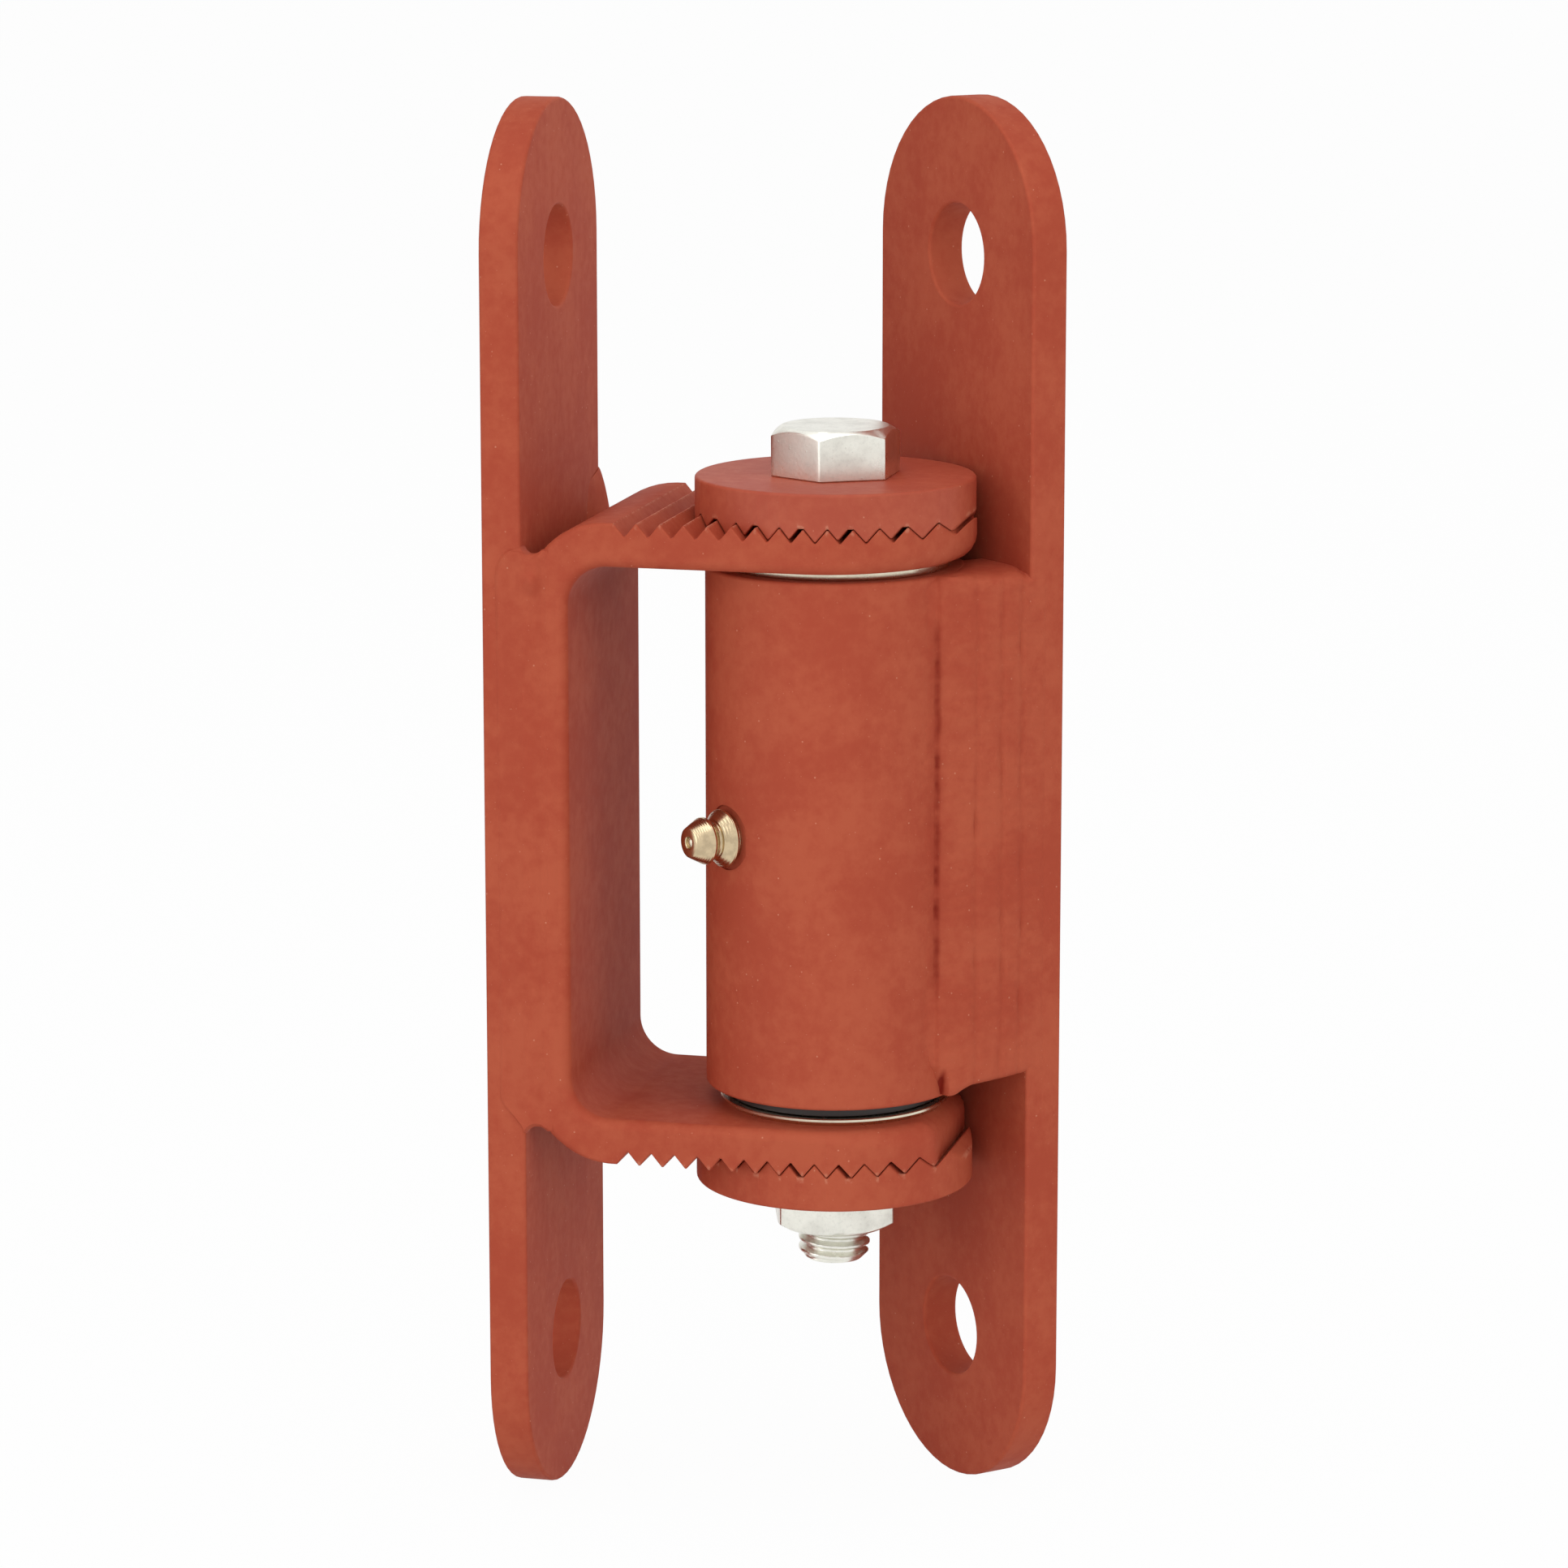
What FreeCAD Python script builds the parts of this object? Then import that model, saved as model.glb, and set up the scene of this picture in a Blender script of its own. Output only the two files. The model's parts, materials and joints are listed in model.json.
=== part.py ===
"""Adjustable weld-on gate hinge with serrated washers and a greased pivot.

The origin is the centre of the post plate's back face. +X runs from the post
towards the gate, +Z runs up along the pivot. Lengths are in millimetres. Each
piece on the pivot is drawn about the pivot axis, level with the middle of the
yoke, and is then stood in place. The gate side is also turned to its rest angle.
"""
import FreeCAD, Part
import math
import os

import Sketcher

SIZES = {
    "plate_length": 197.0,
    "plate_width": 40.0,
    "plate_thickness": 5.5,
    "plate_edge_chamfer": 0.6,
    "fixing_hole_diameter": 14.0,
    "fixing_hole_spacing": 153.6,
    "axis_to_post": 39.2,
    "gate_clearance": 0.5,
    "gate_plate_offset": 1.2,
    "gate_rest_angle": 43.7,
    "yoke_drop": 1.8,
    "bar_width": 38.8,
    "bar_thickness": 6.2,
    "bar_edge_chamfer": 0.9,
    "bend_radius": 5.5,
    "arm_gap": 77.0,
    "lower_arm_reach": 16.6,
    "end_corner_radius": 3.0,
    "tooth_pitch": 3.3,
    "tooth_depth": 1.75,
    "narrow_tooth_relief": 0.6,
    "slot_pitches_back": 2.0,
    "slot_pitches_out": 1.0,
    "washer_inset": 0.1,
    "washer_body": 4.9,
    "washer_edge_chamfer": 0.3,
    "bolt_diameter": 10.0,
    "bolt_hole_clearance": 0.5,
    "bolt_tip_chamfer": 1.2,
    "bolt_protrusion": 4.8,
    "hex_across_flats": 16.0,
    "hex_face_diameter": 15.2,
    "hex_chamfer_angle": 30.0,
    "head_height": 6.8,
    "head_turn": 30.0,
    "nut_height": 7.0,
    "nut_turn": 47.0,
    "barrel_diameter": 35.8,
    "barrel_wall": 4.0,
    "barrel_edge_chamfer": 0.4,
    "sleeve_diameter": 18.0,
    "running_clearance": 0.05,
    "end_clearance": 0.1,
    "thrust_washer_diameter": 31.8,
    "thrust_washer_thickness": 1.1,
    "thrust_washer_clearance": 0.3,
    "bush_length": 20.0,
    "flange_diameter": 29.6,
    "flange_thickness": 1.6,
    "weld_bevel": 2.6,
    "weld_cap": 0.3,
    "yoke_weld_length": 81.2,
    "gate_weld_angle": 72.0,
    "gate_weld_root": 6.0,
    "gate_weld_drop": 1.7,
    "gate_weld_face_radius": 40.0,
    "nipple_angle": 183.3,
    "nipple_thread": 6.0,
    "nipple_thread_length": 3.4,
    "nipple_seat_clearance": 0.5,
    "nipple_seat_depth": 0.5,
    "nipple_base_diameter": 8.0,
    "nipple_base_height": 2.5,
    "nipple_shoulder_height": 2.0,
    "nipple_shoulder_top": 5.4,
    "nipple_neck_diameter": 4.6,
    "nipple_neck_length": 0.7,
    "nipple_head_diameter": 6.5,
    "nipple_flare_length": 0.7,
    "nipple_band_length": 0.6,
    "nipple_cone_length": 2.1,
    "nipple_tip_diameter": 4.0,
    "nipple_mouth": 1.6,
    "nipple_lip": 0.4,
    "nipple_bore": 2.4,
    "nipple_throat": 1.4,
    "ball_diameter": 2.3,
    "ball_travel": 0.8,
    "ball_clearance": 0.03,
    "spring_wire": 0.3,
    "spring_length": 2.4,
    "spring_turns": 3.0,
}

ARM_INNER = "(sizes.arm_gap / 2)"
ARM_OUTER = "(sizes.arm_gap / 2 + sizes.bar_thickness)"
STACK_END = "(sizes.arm_gap / 2 + sizes.bar_thickness + sizes.washer_body)"
AXIS_X = "(sizes.plate_thickness + sizes.axis_to_post)"
AXIS_TO_GATE = "(sizes.bar_width / 2 + sizes.gate_clearance)"
WASHER_RADIUS = "(sizes.bar_width / 2 - sizes.washer_inset)"
BLANK_END = "(sizes.bar_width / 2 + sizes.bar_thickness / 2)"
PAST_END = "(sizes.bar_width / 2 + sizes.bar_thickness)"
TEETH_PAST = "ceil(sizes.bar_width / 2 / sizes.tooth_pitch)"
TEETH_BEHIND = "(ceil(" + WASHER_RADIUS + " / sizes.tooth_pitch) + sizes.slot_pitches_back)"
TOOTH_PAIRS = "ceil(" + WASHER_RADIUS + " / 2 / sizes.tooth_pitch)"
SLOT_RADIUS = "((sizes.bolt_diameter + sizes.bolt_hole_clearance) / 2)"
WEB_BACK = "(-sizes.axis_to_post)"
WEB_FRONT = "(-sizes.axis_to_post + sizes.bar_thickness)"
BEND_X = "(-sizes.axis_to_post + sizes.bar_thickness + sizes.bend_radius)"
BEND_Z = "(sizes.arm_gap / 2 - sizes.bend_radius)"
BORE_RADIUS = "(sizes.barrel_diameter / 2 - sizes.barrel_wall)"
BARREL_TOP = "(sizes.arm_gap / 2 - sizes.thrust_washer_thickness - sizes.end_clearance)"
FLANGE_FOOT = "(-sizes.arm_gap / 2 + sizes.thrust_washer_thickness + sizes.end_clearance)"
BARREL_FOOT = "(" + FLANGE_FOOT + " + sizes.flange_thickness)"
SEAT_RADIUS = "(sizes.barrel_diameter / 2 - sizes.nipple_seat_depth)"
NIPPLE_SEAT = "(sizes.nipple_base_diameter / 2 + sizes.nipple_seat_clearance)"
NECK_START = "(" + SEAT_RADIUS + " + sizes.nipple_base_height)"
HEAD_START = "(" + NECK_START + " + sizes.nipple_neck_length)"
BAND_START = "(" + HEAD_START + " + sizes.nipple_flare_length)"
BAND_END = "(" + BAND_START + " + sizes.nipple_band_length)"
NIPPLE_TIP = "(" + BAND_END + " + sizes.nipple_cone_length)"
BALL_RADIUS = "(sizes.ball_diameter / 2)"
BALL_SET = "sqrt(" + BALL_RADIUS + "^2 - (sizes.nipple_mouth / 2)^2)"
BALL_CENTRE = "(" + NIPPLE_TIP + " - sizes.nipple_lip - " + BALL_SET + " - sizes.ball_clearance)"
BALL_BACK = "(" + BALL_CENTRE + " - " + BALL_RADIUS + ")"
SPRING_SEAT = "(" + BALL_BACK + " - sizes.ball_travel - sizes.spring_length)"
BUSH_BORE = "(sizes.sleeve_diameter / 2 + sizes.running_clearance)"
MID_HEIGHT = "((" + BARREL_TOP + " + " + BARREL_FOOT + ") / 2)"
GATE_LEFT = "(sizes.gate_plate_offset - sizes.plate_width / 2)"
GATE_RIGHT = "(sizes.gate_plate_offset + sizes.plate_width / 2)"

doc = FreeCAD.newDocument("gate_hinge")
sheet = doc.addObject("Spreadsheet::Sheet", "sizes")
for row, (alias, size) in enumerate(SIZES.items(), start=1):
    sheet.set(f"A{row}", alias.replace("_", " "))
    sheet.set(f"B{row}", str(size))
    sheet.setAlias(f"B{row}", alias)
doc.recompute()

nodes = []


def number(expression):
    """Value of a sheet expression, for first guesses and edge choices."""
    return float(sheet.evalExpression(str(expression)))


def bind(piece, **expressions):
    """Tie the named properties of a piece to expressions on the sheet."""
    for name, expression in expressions.items():
        piece.setExpression(name.replace("__", "."), str(expression))


def keep(piece, node):
    """Give a finished sub-part its name and list it for export."""
    piece.Label = node
    nodes.append(piece)
    return piece


def vector(along="0", across="0", up="0"):
    """Expression for a vector."""
    return f"create(<<vector>>; {along}; {across}; {up})"


def turned(axis, angle):
    """Expression for a turn about a vector by an angle in degrees."""
    return f"create(<<rotation>>; {axis}; {angle})"


def pivot_frame(height="0", turn="0"):
    """Expression for a place on the pivot axis, above the yoke's middle."""
    spot = vector(AXIS_X, "0", f"{height} - sizes.yoke_drop")
    return f"create(<<placement>>; {spot}; {turned(vector(up='1'), turn)})"


def stand(piece, height="0", turn="0"):
    """Stand a piece on the pivot axis at a height, turned about that axis."""
    bind(piece, Placement=pivot_frame(height, turn))
    return piece


def on_leaf(piece, height="0", extra_turn="0"):
    """Stand a piece on the pivot axis and turn it with the gate side."""
    return stand(piece, height, f"sizes.gate_rest_angle + {extra_turn}")


def body_named(name):
    """A new body."""
    return doc.addObject("PartDesign::Body", name)


def sketch_on(body, name, plane):
    """An empty sketch on one of the body's own origin planes."""
    sketch = body.newObject("Sketcher::SketchObject", name)
    origin_plane = next(item for item in body.Origin.OriginFeatures if item.Role == plane)
    sketch.AttachmentSupport = [(origin_plane, "")]
    sketch.MapMode = "FlatFace"
    return sketch


def fix_distance(sketch, kind, geometry, position, expression):
    """Bind one distance of a sketch point from the origin."""
    constraint = Sketcher.Constraint(kind, -1, 1, geometry, position, number(expression))
    bind(sketch, **{f"Constraints[{sketch.addConstraint(constraint)}]": expression})


def fix_point(sketch, geometry, position, across, up):
    """Place one sketch point by two bound distances from the origin."""
    fix_distance(sketch, "DistanceX", geometry, position, across)
    fix_distance(sketch, "DistanceY", geometry, position, up)


def fix_radius(sketch, geometry, radius):
    """Bind the radius of an arc or a circle."""
    constraint = Sketcher.Constraint("Radius", geometry, number(radius))
    bind(sketch, **{f"Constraints[{sketch.addConstraint(constraint)}]": radius})


def spot_of(across, up):
    """The point that two expressions give."""
    return FreeCAD.Vector(number(across), number(up), 0)


def arc_about(across, up, sense):
    """An arc round a known centre, turning left or right."""
    return {"centre": (across, up), "sense": sense}


def arc_bulging(radius, sense):
    """An arc of a known radius, under half a turn, turning left or right."""
    return {"radius": radius, "sense": sense}


def arc_centre(here, there, arc):
    """Where the centre of an arc from here to there lies."""
    if "centre" in arc:
        return spot_of(*arc["centre"])
    chord = there - here
    rise = math.sqrt(number(arc["radius"]) ** 2 - (chord.Length / 2) ** 2)
    left = FreeCAD.Vector(-chord.y, chord.x, 0).normalize()
    return here + chord * 0.5 + left * (rise if arc["sense"] == "left" else -rise)


def add_arc(sketch, here, there, arc):
    """Draw one arc and return its index with its start and end positions."""
    centre = arc_centre(here, there, arc)
    leftward = arc["sense"] == "left"
    first, last = (here, there) if leftward else (there, here)
    angles = [math.atan2(spot.y - centre.y, spot.x - centre.x) for spot in (first, last)]
    if angles[1] < angles[0]:
        angles[1] += 2 * math.pi
    circle = Part.Circle(centre, FreeCAD.Vector(0, 0, 1), (here - centre).Length)
    geometry = sketch.addGeometry(Part.ArcOfCircle(circle, *angles), False)
    return (geometry, 1, 2) if leftward else (geometry, 2, 1)


def draw_outline(sketch, corners):
    """Draw a closed outline through corners given as (across, up), with an arc
    as a third entry where an arc leads on to the next corner."""
    spots = [spot_of(corner[0], corner[1]) for corner in corners]
    ends = []
    for index, corner in enumerate(corners):
        here, there = spots[index], spots[(index + 1) % len(spots)]
        if len(corner) > 2:
            ends.append(add_arc(sketch, here, there, corner[2]))
        else:
            ends.append((sketch.addGeometry(Part.LineSegment(here, there), False), 1, 2))
    for index, (geometry, _, end) in enumerate(ends):
        follower, start, _ = ends[(index + 1) % len(ends)]
        sketch.addConstraint(Sketcher.Constraint("Coincident", geometry, end, follower, start))
    for index, corner in enumerate(corners):
        geometry, start, _ = ends[index]
        fix_point(sketch, geometry, start, corner[0], corner[1])
        if len(corner) > 2:
            chord = spots[(index + 1) % len(spots)] - spots[index]
            fix_arc(sketch, geometry, corner[2], abs(chord.x) < abs(chord.y))


def fix_arc(sketch, geometry, arc, chord_is_steep):
    """Bind an arc by its radius, or by its centre's distance beside the chord."""
    if "radius" in arc:
        fix_radius(sketch, geometry, arc["radius"])
    elif chord_is_steep:
        fix_distance(sketch, "DistanceX", geometry, 3, arc["centre"][0])
    else:
        fix_distance(sketch, "DistanceY", geometry, 3, arc["centre"][1])


def draw_circle(sketch, across, up, radius):
    """Draw a bound circle."""
    centre = FreeCAD.Vector(number(across), number(up), 0)
    geometry = sketch.addGeometry(Part.Circle(centre, FreeCAD.Vector(0, 0, 1), number(radius)), False)
    fix_point(sketch, geometry, 3, across, up)
    fix_radius(sketch, geometry, radius)


def extrude(body, kind, sketch, length=None, both_ways=False, flip=False, through=False):
    """Add a Pad or a Pocket of the sketch to the body."""
    feature = body.newObject(f"PartDesign::{kind}", f"{sketch.Name}_{kind.lower()}")
    feature.Profile = sketch
    feature.Midplane = both_ways
    feature.Reversed = flip
    if through:
        feature.Type = "ThroughAll"
    else:
        bind(feature, Length=length)
    sketch.Visibility = False
    doc.recompute()
    return feature


def dress_edges(body, kind, name, base, size, chosen):
    """Put a Chamfer or a Fillet on the base feature's edges that the test picks."""
    dressed = body.newObject(f"PartDesign::{kind}", name)
    names = [f"Edge{n}" for n, edge in enumerate(base.Shape.Edges, start=1) if chosen(edge)]
    dressed.Base = (base, names)
    bind(dressed, **{"Size" if kind == "Chamfer" else "Radius": size})
    doc.recompute()
    return dressed


def near(first, second):
    """True where two lengths agree."""
    return abs(first - second) < 1e-4


def tube(name, outer, inner, height, foot="0"):
    """A ring or tube about the local Z axis."""
    shell = doc.addObject("Part::Cylinder", f"{name}_outside")
    bind(shell, Radius=outer, Height=height, Placement__Base__z=foot)
    bore = doc.addObject("Part::Cylinder", f"{name}_inside")
    bind(bore, Radius=inner, Height=height, Placement__Base__z=foot)
    cut = doc.addObject("Part::Cut", name)
    cut.Base = shell
    cut.Tool = bore
    return cut


def strap_outline(sketch, middle):
    """A flat strap with full-round ends and its two fixing holes."""
    half = "sizes.plate_width / 2"
    left, right = f"{middle} - {half}", f"{middle} + {half}"
    high = "(sizes.plate_length / 2 - sizes.plate_width / 2)"
    draw_outline(sketch, [
        (left, f"-{high}", arc_about(middle, f"-{high}", "left")),
        (right, f"-{high}"),
        (right, high, arc_about(middle, high, "left")),
        (left, high),
    ])
    for sign in ("-", ""):
        draw_circle(sketch, middle, f"{sign}sizes.fixing_hole_spacing / 2", "sizes.fixing_hole_diameter / 2")


def strap(name, middle, back):
    """One of the two fixing plates, its back at the given local X."""
    body = body_named(name)
    sketch = sketch_on(body, f"{name}_outline", "YZ_Plane")
    strap_outline(sketch, middle)
    bind(sketch, AttachmentOffset__Base__z=back)
    pad = extrude(body, "Pad", sketch, "sizes.plate_thickness")
    hole = number("sizes.fixing_hole_diameter / 2")

    def outside(edge):
        flat = near(edge.BoundBox.XLength, 0)
        is_hole = edge.Curve.TypeId == "Part::GeomCircle" and near(edge.Curve.Radius, hole)
        return flat and not is_hole

    dress_edges(body, "Chamfer", f"{name}_edges", pad, "sizes.plate_edge_chamfer", outside)
    return body


def yoke():
    """The bracket bent from flat bar, with V teeth and slots in both arms."""
    body = body_named("yoke")
    sketch = sketch_on(body, "yoke_side", "XZ_Plane")
    upper_bend = (BEND_X, BEND_Z)
    lower_bend = (BEND_X, f"-{BEND_Z}")
    draw_outline(sketch, [
        (BLANK_END, ARM_OUTER),
        (BEND_X, ARM_OUTER, arc_about(*upper_bend, "left")),
        (WEB_BACK, BEND_Z),
        (WEB_BACK, f"-{BEND_Z}", arc_about(*lower_bend, "left")),
        (BEND_X, f"-{ARM_OUTER}"),
        (BLANK_END, f"-{ARM_OUTER}"),
        (BLANK_END, f"-{ARM_INNER}"),
        (BEND_X, f"-{ARM_INNER}", arc_about(*lower_bend, "right")),
        (WEB_FRONT, f"-{BEND_Z}"),
        (WEB_FRONT, BEND_Z, arc_about(*upper_bend, "right")),
        (BEND_X, ARM_INNER),
        (BLANK_END, ARM_INNER),
    ])
    extrude(body, "Pad", sketch, "sizes.bar_width", both_ways=True)
    round_arm_ends(body)
    cut_weld_grooves(body)
    cut = cut_lower_end(body)
    half = number("sizes.bar_width / 2")
    flat = number("sizes.lower_arm_reach")
    inner_height = number(ARM_INNER)

    def end_corner(edge):
        upright = near(edge.BoundBox.XLength, 0) and near(edge.BoundBox.YLength, 0)
        return upright and near(edge.BoundBox.XMin, flat)

    corners = dress_edges(body, "Fillet", "yoke_end_corners", cut, "sizes.end_corner_radius", end_corner)
    web_front = number(WEB_FRONT)

    def inner_arris(edge):
        box = edge.BoundBox
        inside = max(abs(box.ZMin), abs(box.ZMax)) < inner_height + 1e-4
        on_side = near(abs(box.YMin), half) and near(box.YLength, 0)
        on_end = near(box.ZLength, 0) and near(abs(box.ZMin), inner_height) and box.XMin > -1e-4
        return inside and box.XMin > web_front - 1e-4 and (on_side or on_end)

    dress_edges(body, "Chamfer", "yoke_inner_arris", corners, "sizes.bar_edge_chamfer", inner_arris)
    cut_arm_teeth(body)
    cut_slots(body)
    return body


def round_arm_ends(body):
    """Round both arm ends about the pivot axis."""
    sketch = sketch_on(body, "arm_end_round", "XY_Plane")
    half = "sizes.bar_width / 2"
    draw_outline(sketch, [
        ("0", half),
        ("0", PAST_END),
        (PAST_END, PAST_END),
        (PAST_END, f"-{PAST_END}"),
        ("0", f"-{PAST_END}"),
        ("0", f"-{half}", arc_about("0", "0", "left")),
    ])
    extrude(body, "Pocket", sketch, both_ways=True, through=True)


def cut_weld_grooves(body):
    """Bevel the web's two edges beside the post plate for the welds."""
    sketch = sketch_on(body, "weld_grooves", "XY_Plane")
    for sign in ("", "-"):
        edge = f"{sign}sizes.bar_width / 2"
        draw_outline(sketch, [
            (WEB_BACK, edge),
            (f"{WEB_BACK} + sizes.weld_bevel", edge),
            (WEB_BACK, f"{sign}(sizes.bar_width / 2 - sizes.weld_bevel)"),
        ])
    extrude(body, "Pocket", sketch, "sizes.yoke_weld_length", both_ways=True)


def cut_lower_end(body):
    """Cut the lower arm's round end flat."""
    sketch = sketch_on(body, "lower_end_flat", "XY_Plane")
    draw_outline(sketch, [
        ("sizes.lower_arm_reach", f"-{PAST_END}"),
        (PAST_END, f"-{PAST_END}"),
        (PAST_END, PAST_END),
        ("sizes.lower_arm_reach", PAST_END),
    ])
    return extrude(body, "Pocket", sketch, STACK_END)


def cut_arm_teeth(body):
    """Cut the V valleys across the outer faces of both arms."""
    sketch = sketch_on(body, "arm_valleys", "XZ_Plane")
    start = f"(-{TEETH_BEHIND} * sizes.tooth_pitch)"
    for sign in ("", "-"):
        draw_outline(sketch, [
            (start, f"{sign}{ARM_OUTER}"),
            (f"{start} + sizes.tooth_pitch / 2", f"{sign}({ARM_OUTER} - sizes.tooth_depth)"),
            (f"{start} + sizes.tooth_pitch", f"{sign}{ARM_OUTER}"),
        ])
    valleys = extrude(body, "Pocket", sketch, both_ways=True, through=True)
    repeat_along_x(body, "arm_teeth", valleys, f"({TEETH_BEHIND} + {TEETH_PAST})", "sizes.tooth_pitch")


def repeat_along_x(body, name, feature, count, spacing):
    """Repeat a feature along the body's X axis."""
    pattern = body.newObject("PartDesign::LinearPattern", name)
    axis = next(item for item in body.Origin.OriginFeatures if item.Role == "X_Axis")
    pattern.Originals = [feature]
    pattern.Direction = (axis, [""])
    bind(pattern, Occurrences=count, Length=f"({count} - 1) * {spacing}")
    body.Tip = pattern
    doc.recompute()
    return pattern


def cut_slots(body):
    """Cut the adjustment slots through both arms."""
    sketch = sketch_on(body, "arm_slots", "XY_Plane")
    back = "(-sizes.slot_pitches_back * sizes.tooth_pitch)"
    out = "(sizes.slot_pitches_out * sizes.tooth_pitch)"
    draw_outline(sketch, [
        (back, SLOT_RADIUS, arc_about(back, "0", "left")),
        (back, f"-{SLOT_RADIUS}"),
        (out, f"-{SLOT_RADIUS}", arc_about(out, "0", "left")),
        (out, SLOT_RADIUS),
    ])
    extrude(body, "Pocket", sketch, both_ways=True, through=True)


def serrated_washer(name, flipped):
    """A round clamp washer whose teeth mesh with the arm. Every other tooth is
    narrower: its flank is set back by the relief."""
    body = body_named(name)
    disc = sketch_on(body, f"{name}_disc", "XY_Plane")
    draw_circle(disc, "0", "0", WASHER_RADIUS)
    bind(disc, AttachmentOffset__Base__z=f"{ARM_OUTER} - sizes.tooth_depth")
    pad = extrude(body, "Pad", disc, "sizes.washer_body + sizes.tooth_depth")
    top = number(STACK_END)

    def outer_rim(edge):
        return near(edge.BoundBox.ZMin, top)

    dress_edges(body, "Chamfer", f"{name}_rim", pad, "sizes.washer_edge_chamfer", outer_rim)
    hole = sketch_on(body, f"{name}_hole", "XY_Plane")
    draw_circle(hole, "0", "0", SLOT_RADIUS)
    extrude(body, "Pocket", hole, both_ways=True, through=True)
    grooves = sketch_on(body, f"{name}_grooves", "XZ_Plane")
    first = f"(-2 * {TOOTH_PAIRS} * sizes.tooth_pitch)"
    tip = f"({ARM_OUTER} - sizes.tooth_depth)"
    below = f"({ARM_OUTER} - 2 * sizes.tooth_depth)"
    relief = "sizes.narrow_tooth_relief"
    draw_outline(grooves, [
        (f"{first} - {relief}", ARM_OUTER),
        (f"{first} - sizes.tooth_pitch / 2 - {relief}", tip),
        (f"{first} - sizes.tooth_pitch / 2 - {relief}", below),
        (f"{first} + sizes.tooth_pitch * 3 / 2", below),
        (f"{first} + sizes.tooth_pitch * 3 / 2", tip),
        (f"{first} + sizes.tooth_pitch", ARM_OUTER),
        (f"{first} + sizes.tooth_pitch / 2", tip),
        (first, ARM_OUTER),
    ])
    pair = extrude(body, "Pocket", grooves, both_ways=True, through=True)
    repeat_along_x(body, f"{name}_teeth", pair, f"(2 * {TOOTH_PAIRS} + 1)", "sizes.tooth_pitch * 2")
    if not flipped:
        return stand(body)
    flip = f"create(<<placement>>; {vector()}; {turned(vector(along='1'), '180')})"
    bind(body, Placement=f"{pivot_frame()} * {flip}")
    return body


def hexagon(name, height, foot, chamfered):
    """A hexagon with its corners chamfered on the named faces."""
    prism = doc.addObject("Part::Prism", f"{name}_prism")
    prism.Polygon = 6
    bind(prism, Circumradius="sizes.hex_across_flats / 2 / cos(30)", Height=height, Placement__Base__z=foot)
    blank = prism
    face = "sizes.hex_face_diameter / 2"
    root = f"({face} + {height} / tan(sizes.hex_chamfer_angle))"
    for side in chamfered:
        cone = doc.addObject("Part::Cone", f"{name}_{side}_chamfer")
        ends = (root, face) if side == "top" else (face, root)
        bind(cone, Radius1=ends[0], Radius2=ends[1], Height=height, Placement__Base__z=foot)
        common = doc.addObject("Part::Common", f"{name}_{side}_trimmed")
        common.Base = blank
        common.Tool = cone
        blank = common
    return blank


def pivot_bolt():
    """Hexagon bolt, head up, its thread left as a plain cylinder."""
    head = hexagon("bolt_head", "sizes.head_height", STACK_END, ["top"])
    stem = "sizes.nut_height + sizes.bolt_protrusion"
    shank = doc.addObject("Part::Cylinder", "bolt_shank")
    bind(shank, Radius="sizes.bolt_diameter / 2",
         Height=f"2 * {STACK_END} + {stem} - sizes.bolt_tip_chamfer",
         Placement__Base__z=f"-({STACK_END} + {stem}) + sizes.bolt_tip_chamfer")
    tip = doc.addObject("Part::Cone", "bolt_tip")
    bind(tip, Radius1="sizes.bolt_diameter / 2 - sizes.bolt_tip_chamfer", Radius2="sizes.bolt_diameter / 2",
         Height="sizes.bolt_tip_chamfer", Placement__Base__z=f"-({STACK_END} + {stem})")
    bolt = doc.addObject("Part::MultiFuse", "bolt")
    bolt.Shapes = [head, shank, tip]
    bolt.Refine = True
    return stand(bolt, turn="sizes.head_turn")


def hex_nut():
    """Hexagon nut, its thread left as a plain bore on the bolt."""
    blank = hexagon("nut", "sizes.nut_height", f"-{STACK_END} - sizes.nut_height", ["top", "bottom"])
    bore = doc.addObject("Part::Cylinder", "nut_bore")
    bind(bore, Radius="sizes.bolt_diameter / 2", Height="sizes.nut_height",
         Placement__Base__z=f"-{STACK_END} - sizes.nut_height")
    nut = doc.addObject("Part::Cut", "nut")
    nut.Base = blank
    nut.Tool = bore
    return stand(nut, turn="sizes.nut_turn")


def barrel():
    """The turning tube, with a flat seat and a hole for the grease nipple."""
    pipe = body_named("barrel_pipe")
    ring = sketch_on(pipe, "barrel_ring", "XY_Plane")
    draw_circle(ring, "0", "0", "sizes.barrel_diameter / 2")
    draw_circle(ring, "0", "0", BORE_RADIUS)
    bind(ring, AttachmentOffset__Base__z=BARREL_FOOT)
    pad = extrude(pipe, "Pad", ring, f"{BARREL_TOP} - {BARREL_FOOT}")
    rim = number("sizes.barrel_diameter / 2")

    def outer_rim(edge):
        return near(edge.BoundBox.ZLength, 0) and near(edge.BoundBox.XMax, rim)

    dress_edges(pipe, "Chamfer", "barrel_rims", pad, "sizes.barrel_edge_chamfer", outer_rim)
    seat = across_cylinder("nipple_seat", NIPPLE_SEAT, SEAT_RADIUS, "sizes.barrel_wall")
    port = across_cylinder("nipple_port", "sizes.nipple_thread / 2", "0", "sizes.barrel_diameter")
    cut = doc.addObject("Part::Cut", "seated_pipe")
    cut.Base = pipe
    cut.Tool = seat
    drilled = doc.addObject("Part::Cut", "barrel_tube")
    drilled.Base = cut
    drilled.Tool = port
    return on_leaf(drilled)


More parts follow.
